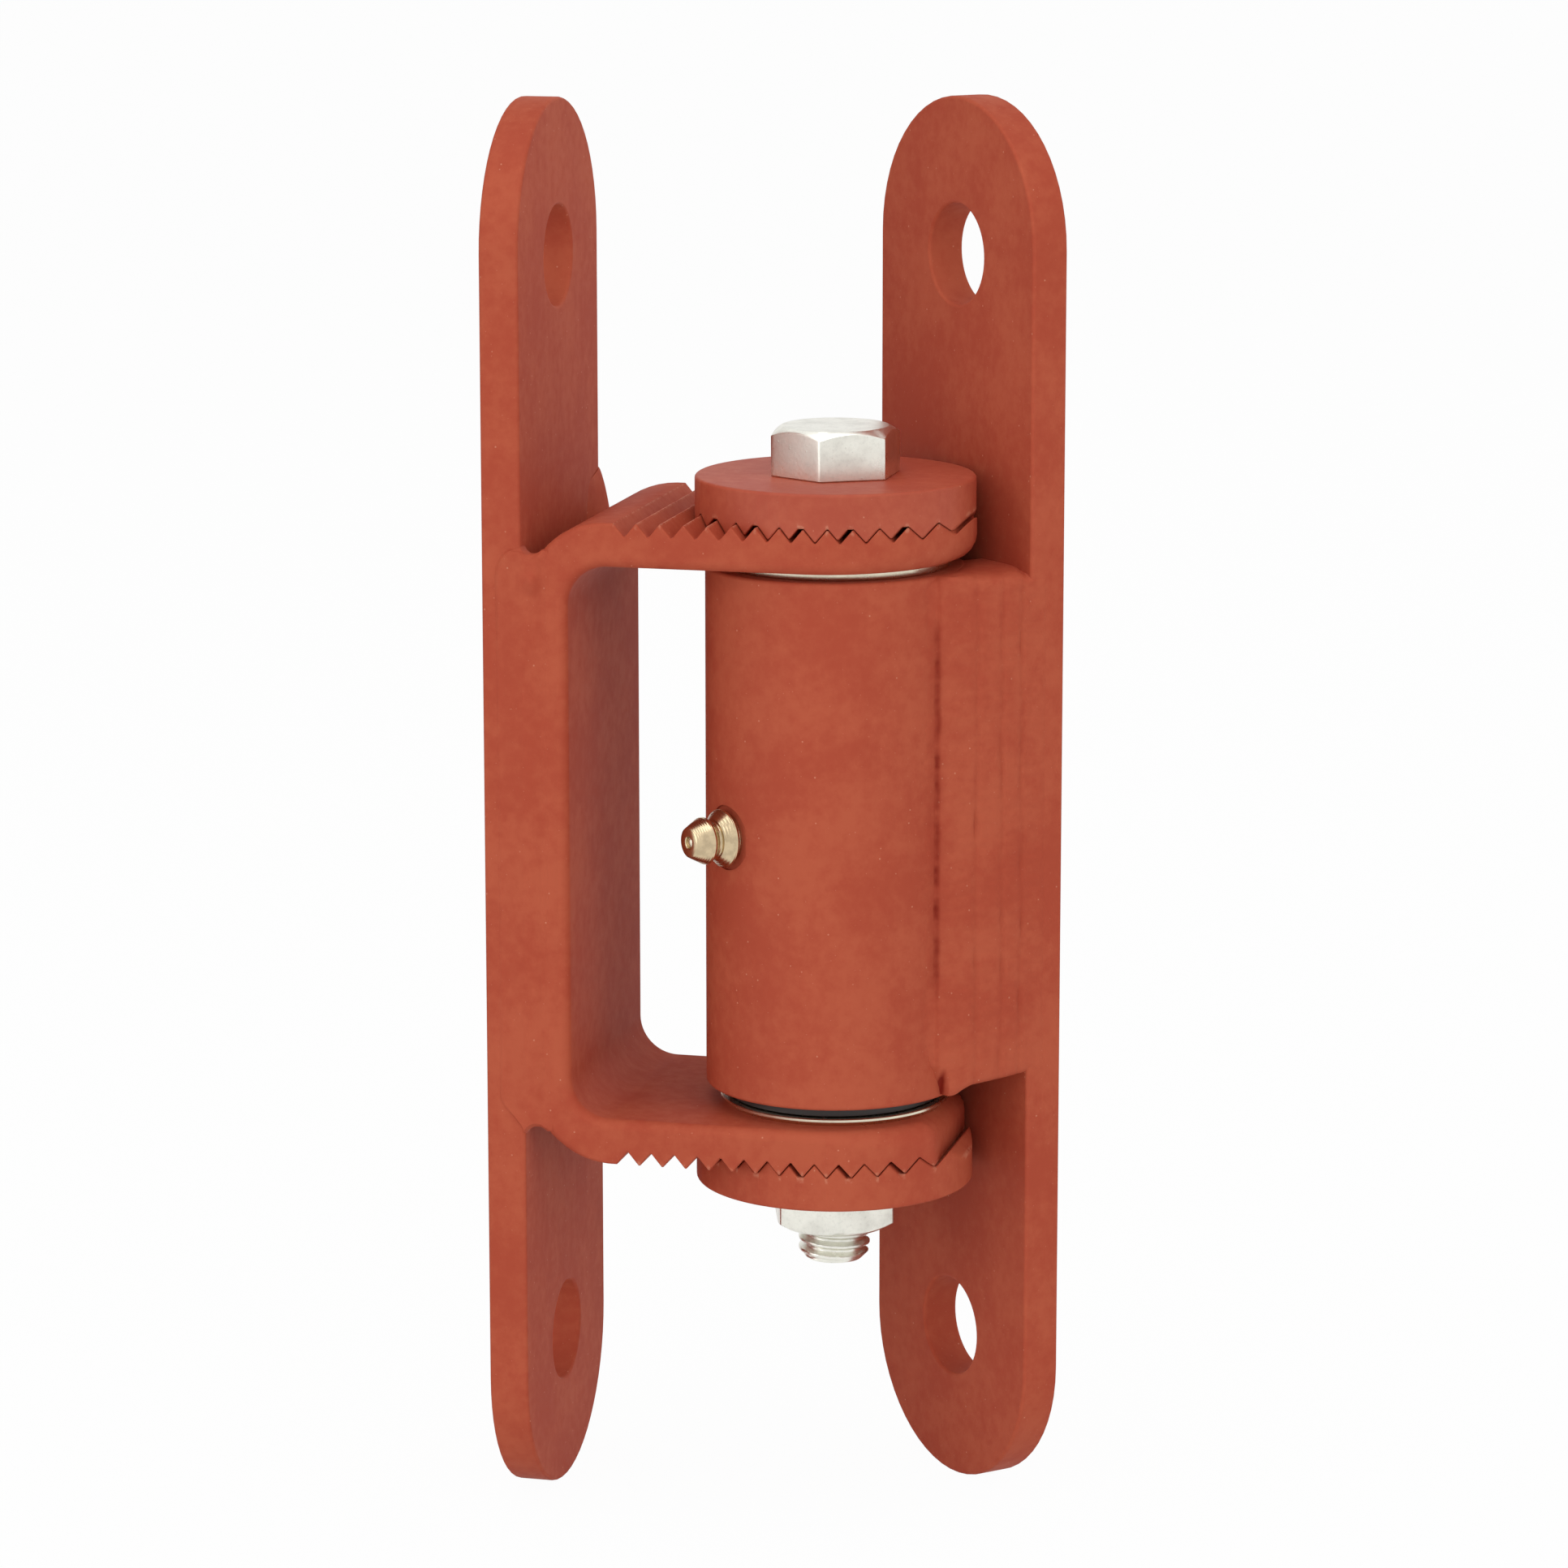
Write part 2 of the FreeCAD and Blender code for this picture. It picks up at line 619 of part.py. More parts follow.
def across_cylinder(name, radius, start, length):
    """A cylinder that points out of the barrel along the nipple's axis."""
    rod = doc.addObject("Part::Cylinder", name)
    bind(rod, Radius=radius, Height=length)
    around = turned(vector(up="1"), "sizes.nipple_angle")
    outward = f"create(<<placement>>; {vector(up=MID_HEIGHT)}; {around})"
    laid = f"create(<<placement>>; {vector(along=start)}; {turned(vector(across='1'), '90')})"
    bind(rod, Placement=f"{outward} * {laid}")
    return rod


def flanged_bush():
    """The lower bush, whose flange carries the gate's weight."""
    sleeve = tube("lower_bush_sleeve", BORE_RADIUS, BUSH_BORE, "sizes.bush_length", BARREL_FOOT)
    flange = tube("lower_bush_flange", "sizes.flange_diameter / 2", BUSH_BORE,
                  "sizes.flange_thickness", FLANGE_FOOT)
    bush = doc.addObject("Part::MultiFuse", "flanged_bush")
    bush.Shapes = [sleeve, flange]
    bush.Refine = True
    return on_leaf(bush)


def thrust_washer(name, foot):
    """A thin steel washer between the barrel and an arm."""
    bore = "sizes.sleeve_diameter / 2 + sizes.thrust_washer_clearance"
    return stand(tube(name, "sizes.thrust_washer_diameter / 2", bore, "sizes.thrust_washer_thickness", foot))


def yoke_weld(name, bracket, side):
    """The ground weld in the groove along one edge of the web, which also fills
    the start of the wedge between each bend and the post plate."""
    box = doc.addObject("Part::Box", f"{name}_block")
    near_edge = "(sizes.bar_width / 2 - sizes.weld_bevel)"
    base = near_edge if side > 0 else "-(sizes.bar_width / 2 + sizes.weld_cap)"
    bind(box, Length="sizes.weld_bevel", Width="sizes.weld_bevel + sizes.weld_cap",
         Height="sizes.yoke_weld_length")
    spot = vector("sizes.plate_thickness", base, "-sizes.yoke_weld_length / 2 - sizes.yoke_drop")
    bind(box, Placement=f"create(<<placement>>; {spot}; {turned(vector(up='1'), '0')})")
    cut = doc.addObject("Part::Cut", f"{name}_bead")
    cut.Base = box
    cut.Tool = bracket
    return cut


def gate_weld(name, side):
    """The heavy weld that fills the corner between the barrel and the gate
    plate; side is -1 at the plate's near edge and 1 at its far edge."""
    body = body_named(name)
    sketch = sketch_on(body, f"{name}_section", "XY_Plane")
    radius = "(sizes.barrel_diameter / 2)"
    sign = "" if side > 0 else "-"
    toe = (f"{radius} * cos(sizes.gate_weld_angle)", f"{sign}{radius} * sin(sizes.gate_weld_angle)")
    edge = GATE_RIGHT if side > 0 else GATE_LEFT
    corner = (AXIS_TO_GATE, f"{edge} - {side} * sizes.plate_edge_chamfer")
    plate_root = (AXIS_TO_GATE, f"{sign}sizes.gate_weld_root")
    barrel_root = (f"sqrt({radius}^2 - sizes.gate_weld_root^2)", f"{sign}sizes.gate_weld_root")
    face_arc = arc_bulging("sizes.gate_weld_face_radius", "left")
    barrel_arc = arc_about("0", "0", "right")
    if side < 0:
        outline = [(*toe, face_arc), corner, plate_root, (*barrel_root, barrel_arc)]
    else:
        outline = [(*corner, face_arc), (*toe, barrel_arc), barrel_root, plate_root]
    draw_outline(sketch, outline)
    foot = f"({BARREL_FOOT} + sizes.gate_weld_drop)"
    bind(sketch, AttachmentOffset__Base__z=foot)
    extrude(body, "Pad", sketch, f"{BARREL_TOP} - {foot}")
    return on_leaf(body)


def nipple():
    """Grease nipple: coned round base, neck, coned head and a stepped bore."""
    body = body_named("nipple")
    inner_end = f"({SEAT_RADIUS} - sizes.nipple_thread_length)"
    base = "sizes.nipple_base_diameter / 2"
    widest = "sizes.nipple_head_diameter / 2"
    outside = sketch_on(body, "nipple_outside", "XZ_Plane")
    draw_outline(outside, [
        (inner_end, "0"),
        (NIPPLE_TIP, "0"),
        (NIPPLE_TIP, "sizes.nipple_tip_diameter / 2"),
        (BAND_END, widest),
        (BAND_START, widest),
        (HEAD_START, "sizes.nipple_neck_diameter / 2"),
        (NECK_START, "sizes.nipple_neck_diameter / 2"),
        (NECK_START, "sizes.nipple_shoulder_top / 2"),
        (f"{NECK_START} - sizes.nipple_shoulder_height", base),
        (SEAT_RADIUS, base),
        (SEAT_RADIUS, "sizes.nipple_thread / 2"),
        (inner_end, "sizes.nipple_thread / 2"),
    ])
    spin(body, "Revolution", outside)
    bore = sketch_on(body, "nipple_inside", "XZ_Plane")
    draw_outline(bore, [
        (inner_end, "0"),
        (NIPPLE_TIP, "0"),
        (NIPPLE_TIP, "sizes.nipple_mouth / 2"),
        (f"{NIPPLE_TIP} - sizes.nipple_lip", "sizes.nipple_mouth / 2"),
        (f"{NIPPLE_TIP} - sizes.nipple_lip", "sizes.nipple_bore / 2"),
        (SPRING_SEAT, "sizes.nipple_bore / 2"),
        (SPRING_SEAT, "sizes.nipple_throat / 2"),
        (inner_end, "sizes.nipple_throat / 2"),
    ])
    spin(body, "Groove", bore)
    return on_leaf(body, MID_HEIGHT, "sizes.nipple_angle")


def spin(body, kind, sketch):
    """Revolve a sketch about the body's X axis, adding or cutting."""
    feature = body.newObject(f"PartDesign::{kind}", f"{sketch.Name}_{kind.lower()}")
    feature.Profile = sketch
    axis = next(item for item in body.Origin.OriginFeatures if item.Role == "X_Axis")
    feature.ReferenceAxis = (axis, [""])
    feature.Angle = 360
    sketch.Visibility = False
    doc.recompute()
    return feature


def nipple_ball():
    """The check ball behind the mouth of the nipple."""
    ball = doc.addObject("Part::Sphere", "check_ball")
    bind(ball, Radius="sizes.ball_diameter / 2")
    spot = f"create(<<placement>>; {vector(BALL_CENTRE)}; {turned(vector(up='1'), '0')})"
    bind(ball, Placement=f"{pivot_frame(MID_HEIGHT, 'sizes.gate_rest_angle + sizes.nipple_angle')} * {spot}")
    return ball


def nipple_spring():
    """The square-wire coil behind the ball, at its length with the ball pressed in."""
    body = body_named("ball_spring")
    sketch = sketch_on(body, "spring_wire_section", "XZ_Plane")
    coil_radius = "((sizes.nipple_bore - sizes.spring_wire) / 2 - sizes.running_clearance)"
    near_side = f"({coil_radius} - sizes.spring_wire / 2)"
    far_side = f"({coil_radius} + sizes.spring_wire / 2)"
    second_side = f"({SPRING_SEAT} + sizes.spring_wire)"
    draw_outline(sketch, [
        (SPRING_SEAT, near_side),
        (second_side, near_side),
        (second_side, far_side),
        (SPRING_SEAT, far_side),
    ])
    coil = body.newObject("PartDesign::AdditiveHelix", "coil")
    coil.Profile = sketch
    axis = next(item for item in body.Origin.OriginFeatures if item.Role == "X_Axis")
    coil.ReferenceAxis = (axis, [""])
    coil.Mode = "height-turns-angle"
    length = f"({BALL_BACK} - sizes.ball_travel - sizes.running_clearance - {SPRING_SEAT})"
    bind(coil, Height=f"{length} - sizes.spring_wire", Turns="sizes.spring_turns")
    doc.recompute()
    return on_leaf(body, MID_HEIGHT, "sizes.nipple_angle")


def check(pieces):
    """Stop with a message if any object failed or any sub-part is no sound solid."""
    for item in doc.Objects:
        if {"Invalid", "Error"} & set(item.State):
            raise RuntimeError(f"{item.Name} failed: {item.State}")
    for piece in pieces:
        shape = piece.Shape
        if shape.isNull() or not shape.isValid() or not shape.Solids:
            raise RuntimeError(f"{piece.Label} has no sound shape")


bracket = keep(stand(yoke()), "yoke_bracket")
keep(strap("post_strap", "0", "0"), "post_plate")
for weld_name, weld_side in (("yoke_weld_front", -1), ("yoke_weld_rear", 1)):
    keep(yoke_weld(weld_name, bracket, weld_side), weld_name)
keep(serrated_washer("upper_serration", False), "upper_serrated_washer")
keep(serrated_washer("lower_serration", True), "lower_serrated_washer")
keep(pivot_bolt(), "pivot_bolt")
keep(hex_nut(), "pivot_nut")
keep(stand(tube("sleeve", "sizes.sleeve_diameter / 2", SLOT_RADIUS, "sizes.arm_gap", f"-{ARM_INNER}")),
     "pivot_sleeve")
keep(thrust_washer("upper_thrust", f"{ARM_INNER} - sizes.thrust_washer_thickness"), "upper_thrust_washer")
keep(thrust_washer("lower_thrust", f"-{ARM_INNER}"), "lower_thrust_washer")
keep(barrel(), "barrel")
keep(on_leaf(tube("upper_bush_tube", BORE_RADIUS, BUSH_BORE, "sizes.bush_length",
                  f"{BARREL_TOP} - sizes.bush_length")), "upper_bush")
keep(flanged_bush(), "lower_bush")
keep(on_leaf(strap("gate_strap", "sizes.gate_plate_offset", AXIS_TO_GATE), "sizes.yoke_drop"), "gate_plate")
keep(gate_weld("gate_weld_near", -1), "gate_weld_front")
keep(gate_weld("gate_weld_far", 1), "gate_weld_rear")
keep(nipple(), "nipple_body")
keep(nipple_ball(), "nipple_ball")
keep(nipple_spring(), "nipple_spring")

doc.recompute()
check(nodes)
os.makedirs("parts", exist_ok=True)
for node in nodes:
    node.Shape.exportStep(f"parts/{node.Label}.step")
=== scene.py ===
"""Looks of an adjustable weld-on gate hinge, built round its packed solids.

Lengths are in metres in the frame of the solids: +X runs from the post towards
the gate and +Z up along the pivot. Pieces on the pivot are drawn about the pivot
axis, level with the middle of the yoke, and their place is put into their mesh.
"""

import json
import math

import bmesh
import bpy
from bpy.props import FloatProperty, FloatVectorProperty, PointerProperty
from mathutils import Matrix, Vector, noise


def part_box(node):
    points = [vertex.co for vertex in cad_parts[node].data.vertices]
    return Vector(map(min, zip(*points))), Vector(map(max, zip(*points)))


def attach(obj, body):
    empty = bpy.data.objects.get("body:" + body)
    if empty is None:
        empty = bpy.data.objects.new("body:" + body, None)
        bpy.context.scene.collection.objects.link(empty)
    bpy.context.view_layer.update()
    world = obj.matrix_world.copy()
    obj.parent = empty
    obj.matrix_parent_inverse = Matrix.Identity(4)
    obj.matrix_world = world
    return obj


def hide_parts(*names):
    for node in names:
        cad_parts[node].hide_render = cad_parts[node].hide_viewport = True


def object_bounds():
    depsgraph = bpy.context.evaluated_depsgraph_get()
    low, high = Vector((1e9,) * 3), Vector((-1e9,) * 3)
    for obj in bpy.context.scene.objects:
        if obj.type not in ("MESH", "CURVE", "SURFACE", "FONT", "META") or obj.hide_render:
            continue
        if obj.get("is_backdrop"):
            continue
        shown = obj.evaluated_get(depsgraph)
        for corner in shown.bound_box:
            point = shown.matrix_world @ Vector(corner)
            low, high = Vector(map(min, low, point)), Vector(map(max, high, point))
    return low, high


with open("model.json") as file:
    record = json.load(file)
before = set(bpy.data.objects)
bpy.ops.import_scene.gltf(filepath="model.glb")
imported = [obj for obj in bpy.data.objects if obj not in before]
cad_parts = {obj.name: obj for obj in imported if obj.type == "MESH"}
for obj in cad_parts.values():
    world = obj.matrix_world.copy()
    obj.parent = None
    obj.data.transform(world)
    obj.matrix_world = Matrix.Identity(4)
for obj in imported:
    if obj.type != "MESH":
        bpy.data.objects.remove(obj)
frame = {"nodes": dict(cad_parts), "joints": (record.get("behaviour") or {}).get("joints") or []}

bl_info = {
    "name": "Adjustable gate hinge",
    "version": (1, 0, 0),
    "blender": (4, 5, 0),
    "location": "View3D > Sidebar > Gate hinge",
    "description": "Builds the painted steel, fasteners and grease nipple of a weld-on gate hinge",
    "category": "Object",
}

MM = 0.001
QUARTER_TURN = math.pi / 2
HALF_TURN = math.pi
FULL_TURN = 2 * math.pi
MERGE_DISTANCE = 1e-7
LEAST_GAP = 0.01 * MM
SHARP_ANGLE = math.radians(38)
SHADING_WEIGHT = 80
HEXAGON_SEGMENTS = 180
BARREL_SEGMENTS = 192
NIPPLE_SEGMENTS = 144
THREAD_COLUMNS = 73
THREAD_ROWS = 1100
CHAMFER_SLOPE = math.tan(math.radians(30))

JOINTS = {joint["name"]: joint for joint in frame["joints"]}
PIVOT_X = JOINTS["gate_swing"]["pos_m"][0]
REST_TURN = math.radians(90 - JOINTS["gate_swing"]["range_deg"][1])
NIPPLE_AXIS = -Vector(JOINTS["ball_press"]["axis"])

YOKE_LOW, YOKE_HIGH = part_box("yoke_bracket")
MIDDLE_Z = (YOKE_LOW.z + YOKE_HIGH.z) / 2
PIVOT = Matrix.Translation((PIVOT_X, 0, MIDDLE_Z))
LEAF = PIVOT @ Matrix.Rotation(REST_TURN, 4, "Z")


def box_in(place, node):
    """Lowest and highest corner of a node, in the axes of a place."""
    spots = [place.inverted() @ vertex.co for vertex in frame["nodes"][node].data.vertices]
    low = Vector(map(min, *spots))
    high = Vector(map(max, *spots))
    return low, high


POST_LOW, POST_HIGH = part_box("post_plate")
GATE_LOW, GATE_HIGH = box_in(LEAF, "gate_plate")
WASHER_LOW, WASHER_HIGH = box_in(PIVOT, "upper_serrated_washer")
SLEEVE_LOW, SLEEVE_HIGH = box_in(PIVOT, "pivot_sleeve")
BARREL_LOW, BARREL_HIGH = box_in(LEAF, "barrel")
BUSH_LOW, BUSH_HIGH = box_in(LEAF, "lower_bush")
RING_RADIUS = box_in(PIVOT, "upper_thrust_washer")[1].y
BOLT_LOW, BOLT_HIGH = box_in(PIVOT, "pivot_bolt")
NUT_LOW, NUT_HIGH = box_in(PIVOT, "pivot_nut")

PLATE_THICKNESS = POST_HIGH.x - POST_LOW.x
PLATE_HALF_WIDTH = (POST_HIGH.y - POST_LOW.y) / 2
PLATE_HALF_LENGTH = (POST_HIGH.z - POST_LOW.z) / 2
AXIS_TO_POST = PIVOT_X - POST_HIGH.x
BAR_HALF_WIDTH = (YOKE_HIGH.y - YOKE_LOW.y) / 2
ARM_OUTER = (YOKE_HIGH.z - YOKE_LOW.z) / 2
ARM_INNER = (SLEEVE_HIGH.z - SLEEVE_LOW.z) / 2
BAR_THICKNESS = ARM_OUTER - ARM_INNER
WASHER_RADIUS = WASHER_HIGH.y
STACK_END = WASHER_HIGH.z
TOOTH_DEPTH = ARM_OUTER - WASHER_LOW.z
BARREL_RADIUS = BARREL_HIGH.y


def length(label, text, default):
    """A length that a user can change."""
    return FloatProperty(name=label, description=text, default=default, unit="LENGTH", precision=5)


def share(label, text, default):
    """A share from 0 to 1 that a user can change."""
    return FloatProperty(name=label, description=text, default=default, min=0, max=1, subtype="FACTOR")


def angle(label, text, degrees):
    """An angle that a user can change."""
    return FloatProperty(name=label, description=text, default=math.radians(degrees), subtype="ANGLE")


def power(label, text, default):
    """A lamp's power that a user can change."""
    return FloatProperty(name=label, description=text, default=default, unit="POWER")


def colour(label, text, default):
    """A linear colour that a user can change."""
    return FloatVectorProperty(name=label, description=text, default=default, size=3, subtype="COLOR")


class PlateSizes(bpy.types.PropertyGroup):
    """Sizes of the two fixing plates."""

    hole_diameter: length("Hole", "Diameter of the two fixing holes", 14 * MM)
    hole_spacing: length("Hole spacing", "Distance between the fixing holes", 153.6 * MM)
    edge_round: length("Edge rounding", "Radius of the painted outer edges", 0.5 * MM)
    hole_round: length("Hole rounding", "Radius of the holes' edges", 0.45 * MM)
    weld_room: length("Weld room", "How far the edges stay below the ground welds", 0.06 * MM)


class YokeSizes(bpy.types.PropertyGroup):
    """Sizes of the bent bar and of the serration that it shares with the washers."""

    bend_radius: length("Bend radius", "Inner radius of the two bends", 5.5 * MM)
    lower_reach: length("Lower arm", "Reach of the lower arm past the pivot", 16.6 * MM)
    lower_corner: length("Lower corners", "Corner radius of the lower arm's flat end", 3 * MM)
    inner_round: length("Inner rounding", "Radius of the bar's inner edges", 1.5 * MM)
    tip_round: length("Tip rounding", "Radius of the arms' inner edges at their worn tips", 3.0 * MM)
    arm_round: length("Toothed rounding", "Radius of the edges beside the teeth", 0.35 * MM)
    bend_round: length("Bend rounding", "Radius of the outer edges at the bends", 1.3 * MM)
    web_round: length("Web rounding", "Radius of the web's edges under the welds", 2.4 * MM)
    slot_width: length("Slot width", "Width of the adjustment slots", 10.5 * MM)
    slot_back: length("Slot back", "Travel of the bolt towards the post", 6.6 * MM)
    slot_out: length("Slot out", "Travel of the bolt away from the post", 3.3 * MM)
    tooth_pitch: length("Tooth pitch", "Distance between teeth", 3.3 * MM)
    tooth_relief: length("Tooth relief", "How much narrower every other washer tooth is", 0.6 * MM)
    tooth_gap: length("Tooth gap", "How far the washers' teeth stand off the arms' teeth", 0.14 * MM)
    tooth_blunt: share("Tooth bluntness", "Share of a flank that crest and valley lose to paint", 0.06)
    teeth_start: length("Teeth start", "How far behind the pivot the teeth begin", 26.4 * MM)
    rim_round: length("Washer rim", "Radius of the serrated washers' plain rim", 0.45 * MM)


class BarrelSizes(bpy.types.PropertyGroup):
    """Sizes of the barrel and of the rings beside it."""

    wall: length("Wall", "Wall of the barrel", 4 * MM)
    edge_round: length("Edge rounding", "Radius of the barrel's outer rims", 0.5 * MM)
    seat_diameter: length("Seat", "Diameter of the flat under the nipple", 9 * MM)
    seat_depth: length("Seat depth", "Depth of the flat under the nipple", 0.5 * MM)
    port_diameter: length("Port", "Diameter of the nipple's threaded hole", 6 * MM)
    ring_bore: length("Ring bore", "Bore of the thrust washers", 18.6 * MM)
    bush_bore: length("Bush bore", "Bore of the bushes", 18.1 * MM)
    flange_thickness: length("Flange", "Thickness of the lower bush's flange", 1.6 * MM)
    ring_round: length("Ring rounding", "Radius of the rings' edges", 0.12 * MM)
    ring_bevel: length("Ring bevel", "Width of the lower thrust washer's bevel beside the arm", 0.8 * MM)
    ring_lip: share("Ring lip", "Share of its thickness that has the full diameter", 0.4)


class FastenerSizes(bpy.types.PropertyGroup):
    """Sizes of the pivot bolt and its nut."""

    thread_diameter: length("Thread", "Outer diameter of the thread", 10 * MM)
    thread_pitch: length("Thread pitch", "Pitch of the thread", 1.5 * MM)
    thread_depth: length("Thread depth", "Depth of the thread's grooves", 0.85 * MM)
    tip_chamfer: length("Tip chamfer", "Chamfer of the bolt's end", 1.1 * MM)
    across_flats: length("Across flats", "Width of the hexagons", 16 * MM)
    face_diameter: length("Face", "Diameter of the hexagons' flat faces", 14.6 * MM)
    corner_blunt: length("Corners", "How much the hexagons' corners are blunted", 0.03 * MM)
    arris_round: length("Arris", "Softening of the edges of the hexagons' chamfers", 0.12 * MM)
    head_round: length("Head edge", "Softening of the head's edge beside the washer", 0.2 * MM)
    nut_mouth: length("Nut mouth", "Chamfer of the nut's hole", 0.7 * MM)
    head_turn: angle("Head turn", "Turn of the bolt's head about the pivot", 30)
    nut_turn: angle("Nut turn", "Turn of the nut about the pivot", 48)


class WeldSizes(bpy.types.PropertyGroup):
    """Sizes of the weld beads."""

    yoke_reach: length("Yoke reach", "How far the ground welds run onto the plate's edge", 3.5 * MM)
    notch_round: length("Notch", "Radius of the hollow where a ground weld ends beside a bend", 1.6 * MM)
    notch_place: length("Notch place", "Distance of that hollow's middle from the plate", 1.5 * MM)
    climb: length("Climb", "How far the rear ground weld climbs up the plate", 6.5 * MM)
    climb_depth: length("Climb depth", "Thickness of the rear ground weld where it climbs", 1.7 * MM)
    hump: length("Hump", "Height of the front ground weld's hump at its top", 0.8 * MM)
    ground_lump: length("Ground lumps", "Height of the lumps that grinding has left", 0.05 * MM)
    toe_turn: angle("Toe turn", "Where on the barrel the gate welds begin", 74.5)
    face_radius: length("Face radius", "Radius of the gate welds' bulging face", 40 * MM)
    overlap: length("Overlap", "How far the gate welds run onto the plate's edge", 2.6 * MM)
    end_round: length("End rounding", "Radius of the gate welds' ends", 1.5 * MM)
    seams: FloatVectorProperty(name="Seams", description="Places of the lines between the passes",
                               default=(11.4 * MM, 15.4 * MM, 18.6 * MM), unit="LENGTH")
    fine_step: length("Fine step", "Distance between points beside the undercut", 0.12 * MM)
    ripple_pitch: length("Ripple pitch", "Distance between the ripples of a bead", 1.6 * MM)
    ripple_height: length("Ripple height", "Height of the ripples", 0.035 * MM)
    lump_size: length("Lump size", "Width of the lumps in a bead", 5 * MM)
    lump_height: length("Lump height", "Height of the lumps", 0.16 * MM)
    undercut: length("Undercut", "Depth of the groove beside the barrel", 0.5 * MM)
    crease_place: length("Crease place", "Distance of that groove from the gate weld's toe", 1.0 * MM)
    crease_width: length("Crease width", "Width of that groove and of the lines between passes", 0.33 * MM)
    slit_place: length("Slit place", "Distance of the slit in a gate weld's foot from its toe", 2.2 * MM)
    slit_width: length("Slit width", "Width of that slit", 0.45 * MM)
    slit_height: length("Slit height", "How far up that slit fades out", 3.4 * MM)
    lead: length("Lead", "How far the gate welds feather out onto the barrel", 2.2 * MM)
    blend_depth: length("Blend", "Size of the fillet between gate weld and barrel", 0.6 * MM)


class NippleSizes(bpy.types.PropertyGroup):
    """Sizes of the grease nipple, along its axis from the seat outwards."""

    base_diameter: length("Base", "Diameter of the round base", 8.0 * MM)
    base_height: length("Base height", "Height of the coned base", 2.5 * MM)
    foot_diameter: length("Foot", "Diameter of the foot under the base's rim", 6.6 * MM)
    foot_height: length("Foot height", "How far the base's rim stands off the seat", 0.95 * MM)
    shoulder_height: length("Shoulder", "Height of the cone on the base", 1.1 * MM)
    shoulder_top: length("Shoulder top", "Diameter at the top of that cone", 5.4 * MM)
    thread_length: length("Thread", "Length of the thread inside the barrel", 3.4 * MM)
    thread_diameter: length("Thread diameter", "Diameter of the thread inside the barrel", 6 * MM)
    neck_diameter: length("Neck", "Diameter of the neck", 4.6 * MM)
    neck_length: length("Neck length", "Length of the neck", 0.7 * MM)
    head_diameter: length("Head", "Diameter of the head", 6.5 * MM)
    flare_length: length("Flare", "Length of the flare under the head", 0.7 * MM)
    band_length: length("Band", "Length of the head's band", 0.6 * MM)
    nose_length: length("Nose", "Length of the coned nose", 2.1 * MM)
    tip_diameter: length("Tip", "Diameter of the flat tip", 4.0 * MM)
    mouth_diameter: length("Mouth", "Diameter of the mouth in front of the ball", 1.6 * MM)
    bore_diameter: length("Bore", "Diameter of the bore behind the lip", 2.4 * MM)
    throat_diameter: length("Throat", "Diameter of the bore in the thread", 1.4 * MM)
    lip_length: length("Lip", "Length of the lip in front of the ball", 0.4 * MM)
    bore_length: length("Bore length", "How far behind the tip the bore narrows", 5 * MM)
    edge_round: length("Edge rounding", "Softening of the base's edges", 0.08 * MM)
    tip_round: length("Tip rounding", "Softening of the tip's edges", 0.1 * MM)
    fillet: length("Fillet", "Radius of the hollows beside the neck", 0.3 * MM)


class FinishColours(bpy.types.PropertyGroup):
    """Colours of the finishes."""

    primer: colour("Primer", "Red-oxide primer in plain light", (0.478, 0.1000, 0.0500))
    primer_dark: colour("Primer shade", "Primer where it lies thick", (0.420, 0.0720, 0.0370))
    # This pale colour serves the dust specks and also the painted highlight, with some wear, on the tooth
    # crests.
    primer_dust_and_highlight: colour("Primer dust", "Pale specks in the primer", (0.68, 0.30, 0.19))
    # Painted shade: this dark colour is laid into the welds' undercuts, the slits at their feet and the
    # lines between passes, where shade falls.
    crease: colour("Crease", "Primer in the undercuts of the welds", (0.22, 0.018, 0.009))
    zinc: colour("Zinc", "Zinc plating of bolt and nut", (0.86, 0.85, 0.77))
    steel: colour("Bright steel", "Turned steel of the rings", (0.84, 0.77, 0.60))
    brass: colour("Yellow zinc", "Yellow plating of the nipple", (0.66, 0.52, 0.33))
    bush: colour("Bush", "Dark bearing plastic", (0.020, 0.016, 0.015))


class StageSettings(bpy.types.PropertyGroup):
    """Camera, lamps and floor."""

    camera_place: FloatVectorProperty(name="Camera", description="Place of the camera",
                                      default=(0.2119, -0.7144, 0.1556), subtype="TRANSLATION")
    heading: angle("Heading", "Turn of the camera to the left of +Y", 13.69)
    pitch: angle("Pitch", "Tilt of the camera below the horizon", 10.81)
    lens: FloatProperty(name="Lens", description="Focal length on a 36 mm sensor", default=124.3,
                        unit="CAMERA")
    shift_x: FloatProperty(name="Shift X", description="Sideways shift of the picture", default=-0.002)
    shift_y: FloatProperty(name="Shift Y", description="Upward shift of the picture", default=-0.050)
    key_power: power("Key", "Power of the front lamp", 20.5)
    fill_power: power("Fill", "Power of the left lamp", 4.0)
    top_power: power("Top", "Power of the top lamp", 6.0)
    back_power: power("Back", "Power of the lamp at the back right", 3.0)
    ambient: share("Ambient", "Strength of the even light from all round", 0.30)
    floor_white: share("Floor white", "Share of the floor that shows as pure white", 0.97)


PROPERTY_GROUPS = {
    "hinge_plates": PlateSizes,
    "hinge_yoke": YokeSizes,
    "hinge_barrel": BarrelSizes,
    "hinge_fasteners": FastenerSizes,
    "hinge_welds": WeldSizes,
    "hinge_nipple": NippleSizes,
    "hinge_colours": FinishColours,
    "hinge_stage": StageSettings,
}


